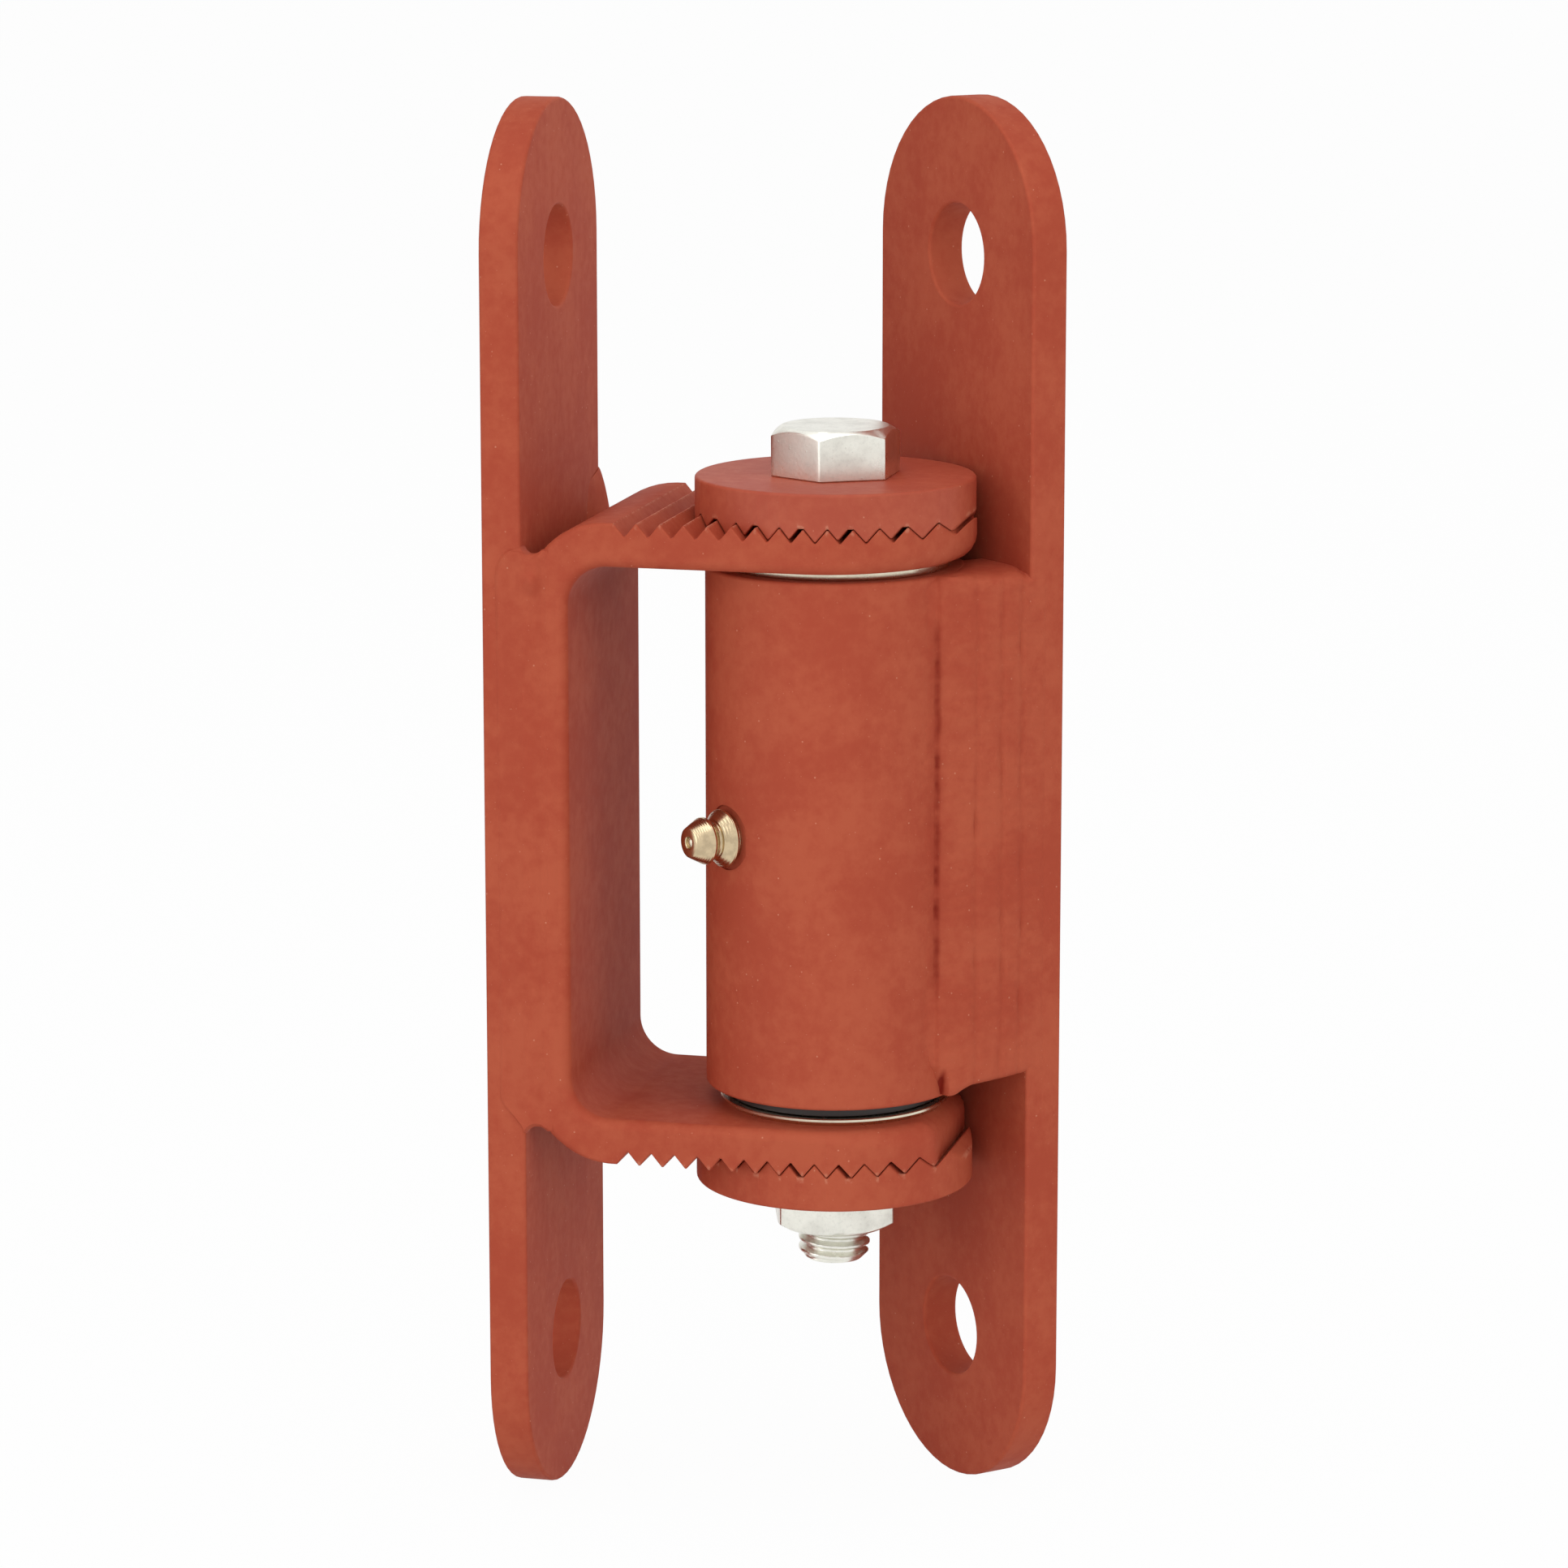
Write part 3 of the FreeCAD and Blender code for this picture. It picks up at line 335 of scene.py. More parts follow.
class Signal:
    """An output socket of a node tree. Arithmetic on it adds Math nodes."""

    def __init__(self, tree, socket=None):
        self.tree = tree
        self.socket = socket

    def node(self, kind, settings=None, inputs=None, output=0):
        """Add a node: its settings come first, then the values or links of its sockets."""
        made = self.tree.nodes.new(kind)
        for name, value in (settings or {}).items():
            setattr(made, name, value)
        for name, value in (inputs or {}).items():
            if isinstance(value, Signal):
                self.tree.links.new(value.socket, made.inputs[name])
            else:
                made.inputs[name].default_value = value
        return Signal(self.tree, made.outputs[output] if made.outputs else None)

    def math(self, operation, *values):
        """Add one Math node."""
        return self.node("ShaderNodeMath", {"operation": operation}, dict(enumerate(values)))

    def __add__(self, other):
        return self.math("ADD", self, other)

    def __radd__(self, other):
        return self.math("ADD", other, self)

    def __sub__(self, other):
        return self.math("SUBTRACT", self, other)

    def __rsub__(self, other):
        return self.math("SUBTRACT", other, self)

    def __mul__(self, other):
        return self.math("MULTIPLY", self, other)

    def __rmul__(self, other):
        return self.math("MULTIPLY", other, self)

    def __truediv__(self, other):
        return self.math("DIVIDE", self, other)

    def __rtruediv__(self, other):
        return self.math("DIVIDE", other, self)

    def fraction(self):
        """The part after the point."""
        return self.math("FRACT", self)

    def floor(self):
        """The whole number below."""
        return self.math("FLOOR", self)

    def least(self, other):
        """The smaller of two."""
        return self.math("MINIMUM", self, other)

    def most(self, other):
        """The larger of two."""
        return self.math("MAXIMUM", self, other)

    def below(self, other):
        """1 where it is smaller than the other, else 0."""
        return self.math("LESS_THAN", self, other)

    def above(self, other):
        """1 where it is larger than the other, else 0."""
        return self.math("GREATER_THAN", self, other)

    def size(self):
        """The value without its sign."""
        return self.math("ABSOLUTE", self)

    def sine(self):
        """The sine of an angle."""
        return self.math("SINE", self)

    def cosine(self):
        """The cosine of an angle."""
        return self.math("COSINE", self)

    def between(self, low, high):
        """0 below the low value and 1 above the high one, with a smooth step."""
        settings = {"interpolation_type": "SMOOTHSTEP"}
        return self.node("ShaderNodeMapRange", settings, {"Value": self, "From Min": low, "From Max": high})


def new_material(name, metallic=0.0):
    """A material with its principled shader; gives the material, the shader and a start for its nodes."""
    material = bpy.data.materials.new(name)
    material.use_nodes = True
    shader = material.node_tree.nodes["Principled BSDF"]
    shader.inputs["Metallic"].default_value = metallic
    return material, shader, Signal(material.node_tree)


def feed(shader, name, signal):
    """Link a signal to one of the shader's sockets."""
    signal.tree.links.new(signal.socket, shader.inputs[name])


def place_in_mm(start):
    """Object coordinates in millimetres."""
    spot = start.node("ShaderNodeTexCoord", output="Object")
    return start.node("ShaderNodeVectorMath", {"operation": "SCALE"}, {0: spot, "Scale": 1 / MM})


def grain(spot, size, detail=2.0, roughness=0.5):
    """Noise from 0 to 1 whose lumps are about a size in millimetres wide."""
    inputs = {"Vector": spot, "Scale": 1 / size, "Detail": detail, "Roughness": roughness}
    return spot.node("ShaderNodeTexNoise", None, inputs)


def blend(factor, first, second):
    """Mix two colours."""
    inputs = {0: factor, 6: first, 7: second}
    return factor.node("ShaderNodeMix", {"data_type": "RGBA"}, inputs, output=2)


def opaque(rgb):
    """A colour with full alpha."""
    return (*rgb, 1)


def toned(rgb, factor):
    """A colour times a factor, with full alpha."""
    return opaque([value * factor for value in rgb])


def bump(height, depth):
    """Turn a height from 0 to 1 into a normal; depth is in metres."""
    return height.node("ShaderNodeBump", None, {"Height": height, "Distance": depth, "Strength": 1.0})


def specks(spot, spacing, radius, kept):
    """Small round dots, of which only a share of the cells keeps one."""
    cell = {"Vector": spot, "Scale": 1 / spacing}
    near = spot.node("ShaderNodeTexVoronoi", None, cell, output="Distance")
    tint = spot.node("ShaderNodeTexVoronoi", None, cell, output="Color")
    chance = spot.node("ShaderNodeSeparateColor", None, {0: tint}, output=0)
    dot = 1 - near.between(0.4 * radius / spacing, radius / spacing)
    return dot * chance.below(kept)


def primer_finish(colours, name, roughening, dullness=0.54, sheen=0.10):
    """Brushed-on red-oxide primer over rolled steel, satin, with dust, fine orange peel, a pale painted
    highlight with some wear on the tooth crests, and painted shade in the welds' creases.
    """
    material, shader, start = new_material(name)
    spot = place_in_mm(start)
    cloud = grain(spot, 14, 3)
    mottle = grain(spot, 1.8, 4, 0.6)
    peel = grain(spot, 0.55, 2)
    dust = (specks(spot, 1.7, 0.16, 0.35) + specks(spot, 0.8, 0.09, 0.35) * 0.6).least(1)
    thick = (cloud * 0.6 + mottle * 0.4).between(0.36, 0.62)
    paint = blend(thick, opaque(colours.primer), opaque(colours.primer_dark))
    paint = blend(dust * 0.6, paint, opaque(colours.primer_dust_and_highlight))
    # Painted highlight, with some wear: the tooth crests are laid over with the pale colour.
    crest = start.node("ShaderNodeAttribute", {"attribute_name": "crest"}, output="Fac")
    crest_wear_and_highlight = crest.between(0.86, 1.0) * grain(spot, 1.1, 3, 0.65).between(0.42, 0.62)
    paint = blend(crest_wear_and_highlight * 0.42, paint, opaque(colours.primer_dust_and_highlight))
    # Painted shade: the welds' crease attribute darkens their undercuts, slits and pass lines.
    crease = start.node("ShaderNodeAttribute", {"attribute_name": "crease"}, output="Fac")
    paint = blend(crease.least(1), paint, opaque(colours.crease))
    feed(shader, "Base Color", paint)
    feed(shader, "Roughness", dullness + 0.12 * mottle + 0.06 * peel)
    rolled = grain(spot, 7, 3)
    height = peel * 0.16 + mottle * 0.22 * roughening + rolled * 1.1 * roughening + dust * 0.12
    feed(shader, "Normal", bump(height, 0.11 * MM))
    shader.inputs["Specular IOR Level"].default_value = sheen
    return material


def zinc_finish(colours):
    """Zinc plating, bright with faint clouds and fine marks."""
    material, shader, start = new_material("zinc", metallic=1.0)
    spot = place_in_mm(start)
    cloud = grain(spot, 3.2, 3)
    mark = grain(spot, 0.5, 4, 0.65)
    scuff = specks(spot, 0.9, 0.16, 0.4)
    worn = (cloud.between(0.35, 0.75) * 0.7 + mark.between(0.45, 0.75) * 0.5 + scuff * 0.6).least(1)
    feed(shader, "Base Color", blend(worn, opaque(colours.zinc), toned(colours.zinc, 0.80)))
    feed(shader, "Roughness", 0.19 + 0.14 * cloud + 0.10 * mark)
    feed(shader, "Normal", bump(mark * 0.3 + cloud * 0.2 + scuff * 0.3, 0.03 * MM))
    return material


def steel_finish(colours):
    """Bright turned steel."""
    material, shader, start = new_material("bright_steel", metallic=1.0)
    spot = place_in_mm(start)
    cloud = grain(spot, 2.2, 3)
    feed(shader, "Base Color", blend(cloud, opaque(colours.steel), toned(colours.steel, 0.80)))
    feed(shader, "Roughness", 0.20 + 0.12 * cloud)
    feed(shader, "Normal", bump(grain(spot, 0.35, 2), 0.004 * MM))
    return material


def nipple_finish(colours):
    """Yellow-passivated zinc with fine turning marks round the nipple's axis."""
    material, shader, start = new_material("yellow_zinc", metallic=1.0)
    spot = place_in_mm(start)
    along = start.node("ShaderNodeVectorMath", {"operation": "DOT_PRODUCT"},
                       {0: spot, 1: tuple(NIPPLE_AXIS)}, output="Value")
    mark_pitch = 0.28
    turning = (along * (FULL_TURN / mark_pitch)).sine() * 0.5 + 0.5
    cloud = grain(spot, 1.2, 3)
    clouded = cloud.between(0.40, 0.64)
    feed(shader, "Base Color", blend(clouded, opaque(colours.brass), toned(colours.brass, 0.82)))
    feed(shader, "Roughness", 0.18 + 0.10 * cloud)
    feed(shader, "Normal", bump(turning * 0.5 + cloud * 0.2, 0.03 * MM))
    return material


def bush_finish(colours):
    """Dark bearing plastic with a thin film of grease."""
    material, shader, start = new_material("bush")
    spot = place_in_mm(start)
    film = grain(spot, 1.5, 3)
    feed(shader, "Base Color", blend(film, opaque(colours.bush), toned(colours.bush, 2)))
    feed(shader, "Roughness", 0.35 + 0.25 * film)
    feed(shader, "Normal", bump(film, 0.05 * MM))
    return material


FINISHES = {}


def make_finishes(colours):
    """Make every finish once, under the name that the pieces ask for."""
    FINISHES["primer"] = primer_finish(colours, "primer", 0.45)
    FINISHES["primer_weld"] = primer_finish(colours, "primer_weld", 1.0)
    FINISHES["primer_washer"] = primer_finish(colours, "primer_washer", 0.45, 0.44, 0.28)
    FINISHES["zinc"] = zinc_finish(colours)
    FINISHES["bright_steel"] = steel_finish(colours)
    FINISHES["yellow_zinc"] = nipple_finish(colours)
    FINISHES["bush"] = bush_finish(colours)


def put_in_scene(name, data):
    """A new object in the scene that holds a mesh, lamp or camera."""
    made = bpy.data.objects.new(name, data)
    bpy.context.scene.collection.objects.link(made)
    return made


def new_piece(name, vertices, faces):
    """A new object from points and faces, its seams merged and its faces outward."""
    mesh = bpy.data.meshes.new(name)
    mesh.from_pydata(vertices, [], faces)
    piece = put_in_scene(name, mesh)
    tidy(piece)
    return piece


def tidy(piece):
    """Merge doubled points, drop empty faces and turn every face outward."""
    work = bmesh.new()
    work.from_mesh(piece.data)
    bmesh.ops.remove_doubles(work, verts=work.verts, dist=MERGE_DISTANCE)
    bmesh.ops.dissolve_degenerate(work, edges=work.edges, dist=MERGE_DISTANCE)
    bmesh.ops.recalc_face_normals(work, faces=work.faces)
    work.to_mesh(piece.data)
    work.free()


def settle(piece):
    """Bake the modifiers into a plain mesh."""
    depsgraph = bpy.context.evaluated_depsgraph_get()
    mesh = bpy.data.meshes.new_from_object(piece.evaluated_get(depsgraph), depsgraph=depsgraph)
    piece.modifiers.clear()
    piece.data = mesh


def cut(piece, *cutters):
    """Take the cutters out of a piece."""
    for cutter in cutters:
        modifier = piece.modifiers.new("cut", "BOOLEAN")
        modifier.operation = "DIFFERENCE"
        modifier.solver = "EXACT"
        modifier.object = cutter
    bpy.context.view_layer.update()
    settle(piece)
    for cutter in cutters:
        bpy.data.objects.remove(cutter)
    tidy(piece)


def hand_over(piece, place, body, finish, nodes):
    """Put the place in the mesh, shade it, give it its finish, hand it to its body and hide the nodes that
    it replaces.
    """
    piece.data.transform(place)
    piece.data.shade_smooth()
    piece.data.set_sharp_from_angle(angle=SHARP_ANGLE)
    modifier = piece.modifiers.new("even_shading", "WEIGHTED_NORMAL")
    modifier.keep_sharp = True
    modifier.weight = SHADING_WEIGHT
    settle(piece)
    piece.data.materials.clear()
    piece.data.materials.append(FINISHES[finish])
    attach(piece, body)
    if nodes:
        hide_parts(*nodes)


def skin_faces(row_count, count):
    """Faces between neighbouring rows, each of which is a ring of a count of points."""
    faces = []
    for start in range(0, (row_count - 1) * count, count):
        for index in range(count):
            follower = (index + 1) % count
            faces.append((start + index, start + follower, start + count + follower, start + count + index))
    return faces


def loft(name, rings, capped=True):
    """Skin rings of equally many points; the end rings are closed with flat faces."""
    count = len(rings[0])
    vertices = [point for ring in rings for point in ring]
    faces = skin_faces(len(rings), count)
    if capped:
        faces.append(tuple(range(count)))
        faces.append(tuple((len(rings) - 1) * count + index for index in range(count)))
    return new_piece(name, vertices, faces)


def turned_piece(name, profile_at, segments=128):
    """A closed profile of (radius, height) carried round the local Z axis. The profile may
    depend on the angle, as it does on a hexagon."""
    rings = []
    for step in range(segments):
        turn = FULL_TURN * step / segments
        rings.append([(radius * math.cos(turn), radius * math.sin(turn), height)
                      for radius, height in profile_at(turn)])
    rings.append(rings[0])
    return loft(name, rings, capped=False)


def arc_points(centre, radius, start, end, steps):
    """Points along an arc in a plane, ends included."""
    angles = [start + (end - start) * step / steps for step in range(steps + 1)]
    return [(centre[0] + radius * math.cos(turn), centre[1] + radius * math.sin(turn)) for turn in angles]


def circle(centre, radius, count=64):
    """Points round a full circle in a plane."""
    return arc_points(centre, radius, 0, FULL_TURN * (count - 1) / count, count - 1)


def ring_profile(inner, outer, low, high, rounding, steps=4):
    """Closed profile of a ring whose outer rims are rounded."""
    rims = arc_points((outer - rounding, low + rounding), rounding, -QUARTER_TURN, 0, steps)
    rims += arc_points((outer - rounding, high - rounding), rounding, 0, QUARTER_TURN, steps)
    return [(inner, low), *rims, (inner, high)]


def fall(inset, radius):
    """How far a rounded rim lies below its face, a distance in from the outline."""
    if inset >= radius:
        return 0.0
    return radius - math.sqrt(radius ** 2 - (radius - inset) ** 2)


def smooth_step(value):
    """0 below 0 and 1 above 1, with a smooth step between."""
    value = max(0.0, min(1.0, value))
    return value * value * (3 - 2 * value)


def fade_in(value, start, width):
    """0 up to a start and 1 beyond a width from there, with a smooth step between."""
    return smooth_step((value - start) / width)


def rim_levels(radius, steps=5):
    """Distances in from the outline at which a rounded rim has its points."""
    return [radius * (1 - math.cos(QUARTER_TURN * step / steps)) for step in range(steps + 1)]


class Plan:
    """Outline of an arm or a disc about the pivot, seen from above: round, or with one end
    cut flat and its corners rounded."""

    def __init__(self, radius, flat=None, corner=0.0, whole=False):
        self.radius = radius
        self.tip = radius if flat is None else flat
        self.corner = corner if flat is not None else 0.0
        self.whole = whole

    def room(self, along):
        """How far in from the end a place is."""
        return self.tip - (abs(along) if self.whole else along)

    def half_width(self, along, inset):
        """Half the width at a place, a distance in from the outline."""
        inset = max(0.0, min(inset, self.room(along)))
        rim = self.radius - inset
        if along <= 0 and not self.whole:
            return rim
        if self.corner:
            centre = self.tip - self.corner
            centre_width = math.sqrt((self.radius - self.corner) ** 2 - centre ** 2)
            small = self.corner - inset
            if along > centre + small * centre / (self.radius - self.corner):
                return centre_width + math.sqrt(max(0.0, small ** 2 - (along - centre) ** 2))
        return math.sqrt(max(0.0, rim ** 2 - along ** 2))


def section(first, second, along, plan, rounds):
    """One cross-section of a bar or disc as a ring of points. The two faces are given by a
    point each in side view, and each has its own rim rounding."""
    across = (second - first).normalized()
    ring = []
    for base, inward, radius, sense in ((first, across, rounds[0], 1), (second, -across, rounds[1], -1)):
        side = []
        for inset in rim_levels(radius):
            held = min(inset, plan.room(along))
            side.append((plan.half_width(along, held), fall(held, radius)))
        flat_half, flat_fall = side[-1]
        middle = [(flat_half * part, flat_fall) for part in (-0.6, -0.2, 0.2, 0.6)]
        row = [(-half, depth) for half, depth in side] + middle
        row += [(half, depth) for half, depth in side[::-1]]
        for half, depth in row:
            spot = base + inward * depth
            ring.append((spot.x, half * sense, spot.y))
    return ring


def tooth_places(low, high, pitch, relief, blunt):
    """Places along X where the serration changes slope, between two limits."""
    edge = blunt * pitch / 2
    places = []
    first = 2 * math.floor(low / pitch / 2)
    for pair in range(first, math.ceil(high / pitch) + 2, 2):
        start = pair * pitch
        turns = [start, start + pitch / 2, start + pitch, start + 1.5 * pitch - relief / 2,
                 start + 2 * pitch - relief]
        for turn in turns:
            places += [turn - edge, turn + edge]
    return sorted(place for place in places if low < place < high)


def thin_out(places):
    """Sorted places with near doubles left out."""
    kept = []
    for place in sorted(places):
        if not kept or place - kept[-1] > LEAST_GAP:
            kept.append(place)
    return kept


def end_places(plan, rounding, steps=18, corner_steps=8):
    """Places that follow an arm's rounded end, from the pivot to its tip."""
    round_end = [plan.radius * math.sin(QUARTER_TURN * step / steps) for step in range(steps + 1)]
    rim = [plan.tip - level for level in rim_levels(rounding)]
    corner = [plan.tip - plan.corner * (1 - math.sin(QUARTER_TURN * step / corner_steps))
              for step in range(corner_steps)]
    return [place for place in round_end + rim + corner if 0 <= place <= plan.tip]


def mark_teeth(piece, side_of):
    """Store on each point whether, and which way, the serration moves it."""
    attribute = piece.data.attributes.new("tooth_side", "FLOAT", "POINT")
    attribute.data.foreach_set("value", [side_of(vertex.co) for vertex in piece.data.vertices])


def new_tree(name, inputs):
    """A geometry tree with named inputs; gives the tree and its input signals."""
    tree = bpy.data.node_groups.new(name, "GeometryNodeTree")
    tree.interface.new_socket("Geometry", in_out="INPUT", socket_type="NodeSocketGeometry")
    for label, kind in inputs.items():
        tree.interface.new_socket(label, in_out="INPUT", socket_type=kind)
    tree.interface.new_socket("Geometry", in_out="OUTPUT", socket_type="NodeSocketGeometry")
    start = Signal(tree)
    return tree, {label: start.node("NodeGroupInput", output=label) for label in ("Geometry", *inputs)}


def close_tree(geometry, finish):
    """End a geometry tree with real geometry in its finish."""
    real = geometry.node("GeometryNodeRealizeInstances", None, {0: geometry})
    dressed = real.node("GeometryNodeSetMaterial", None, {"Geometry": real, "Material": finish})
    dressed.node("NodeGroupOutput", None, {0: dressed})


def grow(piece, tree, values):
    """Run a geometry tree on a piece and keep the result as a plain mesh."""
    modifier = piece.modifiers.new(tree.name, "NODES")
    modifier.node_group = tree
    entries = [item for item in tree.interface.items_tree if item.in_out == "INPUT"]
    for item in entries:
        if item.name in values:
            modifier[item.identifier] = values[item.name]
    piece.update_tag()
    bpy.context.view_layer.update()
    settle(piece)


def serration_tree():
    """Geometry tree that moves the marked points to a row of V teeth along X, of which every
    other one may be narrower."""
    inputs = {"Pitch": "NodeSocketFloat", "Depth": "NodeSocketFloat", "Relief": "NodeSocketFloat",
              "Bluntness": "NodeSocketFloat", "Finish": "NodeSocketMaterial"}
    tree, entry = new_tree("serration", inputs)
    start = Signal(tree)
    pitch, blunt = entry["Pitch"], entry["Bluntness"]
    position = start.node("GeometryNodeInputPosition")
    along = start.node("ShaderNodeSeparateXYZ", None, {0: position}, output="X")
    side = start.node("GeometryNodeInputNamedAttribute", {"data_type": "FLOAT"}, {"Name": "tooth_side"})
    place = (along / pitch).fraction()
    second = ((along / (2 * pitch)).fraction() * 2).floor()
    rise = place * 2
    run_out = (1 - second * entry["Relief"] / pitch - place) * 2
    height = rise.least(run_out).most(blunt).least(1 - blunt)
    height = (height - blunt) / (1 - 2 * blunt)
    shift = start.node("ShaderNodeCombineXYZ", None, {"Z": height * side * entry["Depth"] * -1})
    moved = start.node("GeometryNodeSetPosition", None, {"Geometry": entry["Geometry"], "Offset": shift})
    # crest is 1 on the teeth's crests; the primer paints a highlight, with some wear, there.
    marked = start.node("GeometryNodeStoreNamedAttribute", {"data_type": "FLOAT"},
                        {"Geometry": moved, "Name": "crest", "Value": (1 - height) * side * side})
    close_tree(marked, entry["Finish"])
    return tree


def thread_tree():
    """Geometry tree that wraps a grid into a rod with a helical thread, a coned tip and two
    closed ends. It grows up from its tip at the origin."""
    inputs = {"Radius": "NodeSocketFloat", "Length": "NodeSocketFloat", "Pitch": "NodeSocketFloat",
              "Depth": "NodeSocketFloat", "Tip": "NodeSocketFloat", "Thread end": "NodeSocketFloat",
              "Around": "NodeSocketInt", "Rows": "NodeSocketInt", "Finish": "NodeSocketMaterial"}
    tree, entry = new_tree("screw_thread", inputs)
    start = Signal(tree)
    rows, around = entry["Rows"], entry["Around"]
    grid = start.node("GeometryNodeMeshGrid", None,
                      {"Size X": 1.0, "Size Y": 1.0, "Vertices X": around, "Vertices Y": rows})
    index = start.node("GeometryNodeInputIndex")
    column = (index / rows).floor()
    row = index - column * rows
    turn = column / (around - 1)
    height = (row.most(1).least(rows - 2) - 1) / (rows - 3) * entry["Length"]
    swing = (height / entry["Pitch"] + turn).fraction() * 2 - 1
    flank = (swing.size() * 1.5 - 0.25).most(0).least(1)
    groove = flank * flank * (3 - 2 * flank)
    threaded = 1 - height.between(entry["Thread end"] - entry["Pitch"], entry["Thread end"])
    radius = entry["Radius"] - groove * entry["Depth"] * threaded
    radius = radius.least(entry["Radius"] - entry["Tip"] + height)
    inside = row.above(0.5) * row.below(rows - 1.5)
    radius = radius * inside
    phase = turn * FULL_TURN
    spot = start.node("ShaderNodeCombineXYZ", None,
                      {"X": phase.cosine() * radius, "Y": phase.sine() * radius, "Z": height})
    wrapped = start.node("GeometryNodeSetPosition", None, {"Geometry": grid, "Position": spot})
    welded = start.node("GeometryNodeMergeByDistance", None, {"Geometry": wrapped, "Distance": 1e-6})
    close_tree(welded, entry["Finish"])
    return tree


def bead_tree():
    """Geometry tree that gives the marked face of a weld its ripples and lumps."""
    inputs = {"Ripple pitch": "NodeSocketFloat", "Ripple height": "NodeSocketFloat",
              "Lump size": "NodeSocketFloat", "Lump height": "NodeSocketFloat",
              "Seed": "NodeSocketFloat", "Finish": "NodeSocketMaterial"}
    tree, entry = new_tree("weld_bead", inputs)
    start = Signal(tree)
    position = start.node("GeometryNodeInputPosition")
    up = start.node("ShaderNodeSeparateXYZ", None, {0: position}, output="Z")
    face = start.node("GeometryNodeInputNamedAttribute", {"data_type": "FLOAT"}, {"Name": "weld_face"})

    def lumps(size, detail):
        settings = {"noise_dimensions": "4D"}
        values = {"Vector": position, "W": entry["Seed"], "Scale": 1 / size, "Detail": detail}
        return start.node("ShaderNodeTexNoise", settings, values)

    broad = lumps(entry["Lump size"], 2.0)
    drift = lumps(entry["Lump size"] * 1.7, 1.0)
    fine = lumps(entry["Lump size"] * 0.16, 3.0)
    wave = (up / entry["Ripple pitch"] * FULL_TURN + drift * 14).sine()
    lift = (broad - 0.5) * 2 * entry["Lump height"]
    lift = lift + (wave + (fine - 0.5) * 3) * entry["Ripple height"]
    normal = start.node("GeometryNodeInputNormal")
    shift = start.node("ShaderNodeVectorMath", {"operation": "SCALE"}, {0: normal, "Scale": lift * face})
    moved = start.node("GeometryNodeSetPosition", None, {"Geometry": entry["Geometry"], "Offset": shift})
    close_tree(moved, entry["Finish"])
    return tree


TREES = {}


def make_trees():
    """Make the geometry trees once."""
    TREES["serration"] = serration_tree()
    TREES["thread"] = thread_tree()
    TREES["bead"] = bead_tree()


def capsule(half_width, half_length, steps=28):
    """A strap's outline with full-round ends, as (across, up) points."""
    centre = half_length - half_width
    lower = arc_points((0, -centre), half_width, -HALF_TURN, 0, steps)
    upper = arc_points((0, centre), half_width, 0, HALF_TURN, steps)
    return lower + upper


def wall_loops(outline_at, radius, thickness):
    """Loops down one wall of a plate: over the front rim, and round the back rim."""
    levels = rim_levels(radius)
    front = [(level, thickness - fall(level, radius)) for level in levels[::-1]]
    back = [(level, fall(level, radius)) for level in levels]
    return [[(depth, across, up) for across, up in outline_at(inset)] for inset, depth in front + back]


def strap_plate(name, sizes):
    """A fixing plate in its own axes: back face at X 0, width along Y, length along Z."""
    hole_radius = sizes.hole_diameter / 2
    half_width = PLATE_HALF_WIDTH - sizes.weld_room
    walls = [wall_loops(lambda inset: capsule(half_width - inset, PLATE_HALF_LENGTH - inset),
                        sizes.edge_round, PLATE_THICKNESS)]
    for height in (-sizes.hole_spacing / 2, sizes.hole_spacing / 2):
        walls.append(wall_loops(lambda inset, up=height: circle((0, up), hole_radius + inset),
                                sizes.hole_round, PLATE_THICKNESS))
    work = bmesh.new()
    rims = {0: [], -1: []}
    for loops in walls:
        rows = [[work.verts.new(point) for point in loop] for loop in loops]
        count = len(rows[0])
        for upper, lower in zip(rows, rows[1:]):
            for index in range(count):
                follower = (index + 1) % count
                work.faces.new((upper[index], upper[follower], lower[follower], lower[index]))
        for end, edges in rims.items():
            row = rows[end]
            edges += [work.edges.get((row[index], row[(index + 1) % count])) for index in range(count)]
    for edges in rims.values():
        bmesh.ops.triangle_fill(work, use_beauty=True, edges=edges)
    mesh = bpy.data.meshes.new(name)
    work.to_mesh(mesh)
    work.free()
    piece = put_in_scene(name, mesh)
    tidy(piece)
    return piece


class HINGE_OT_plates(bpy.types.Operator):
    """Build the post plate and the gate plate"""

    bl_idname = "hinge.plates"
    bl_label = "Fixing plates"

    def execute(self, context):
        sizes = context.scene.hinge_plates
        post = strap_plate("fixing_plate_post", sizes)
        hand_over(post, Matrix.Translation((POST_LOW.x, 0, 0)), "yoke", "primer", ["post_plate"])
        gate = strap_plate("fixing_plate_gate", sizes)
        middle = (GATE_LOW + GATE_HIGH) / 2
        place = LEAF @ Matrix.Translation((GATE_LOW.x, middle.y, middle.z))
        hand_over(gate, place, "leaf", "primer", ["gate_plate"])
        return {"FINISHED"}


def arm_rings(sizes, plan, side):
    """Cross-sections of one arm from its bend to its tip; side is 1 above and -1 below."""
    start = -AXIS_TO_POST + BAR_THICKNESS + sizes.bend_radius
    places = [start, *tooth_places(start, plan.tip, sizes.tooth_pitch, 0.0, sizes.tooth_blunt)]
    places += end_places(plan, sizes.tip_round)
    places += [plan.tip - level for level in rim_levels(sizes.arm_round)]
    rings = []
    for along in thin_out(places):
        outer = Vector((along, side * ARM_OUTER))
        inner = Vector((along, side * ARM_INNER))
        worn = smooth_step(along / plan.tip)
        inner_round = sizes.inner_round + (sizes.tip_round - sizes.inner_round) * worn
        rings.append(section(outer, inner, along, plan, (sizes.arm_round, inner_round)))
    return rings


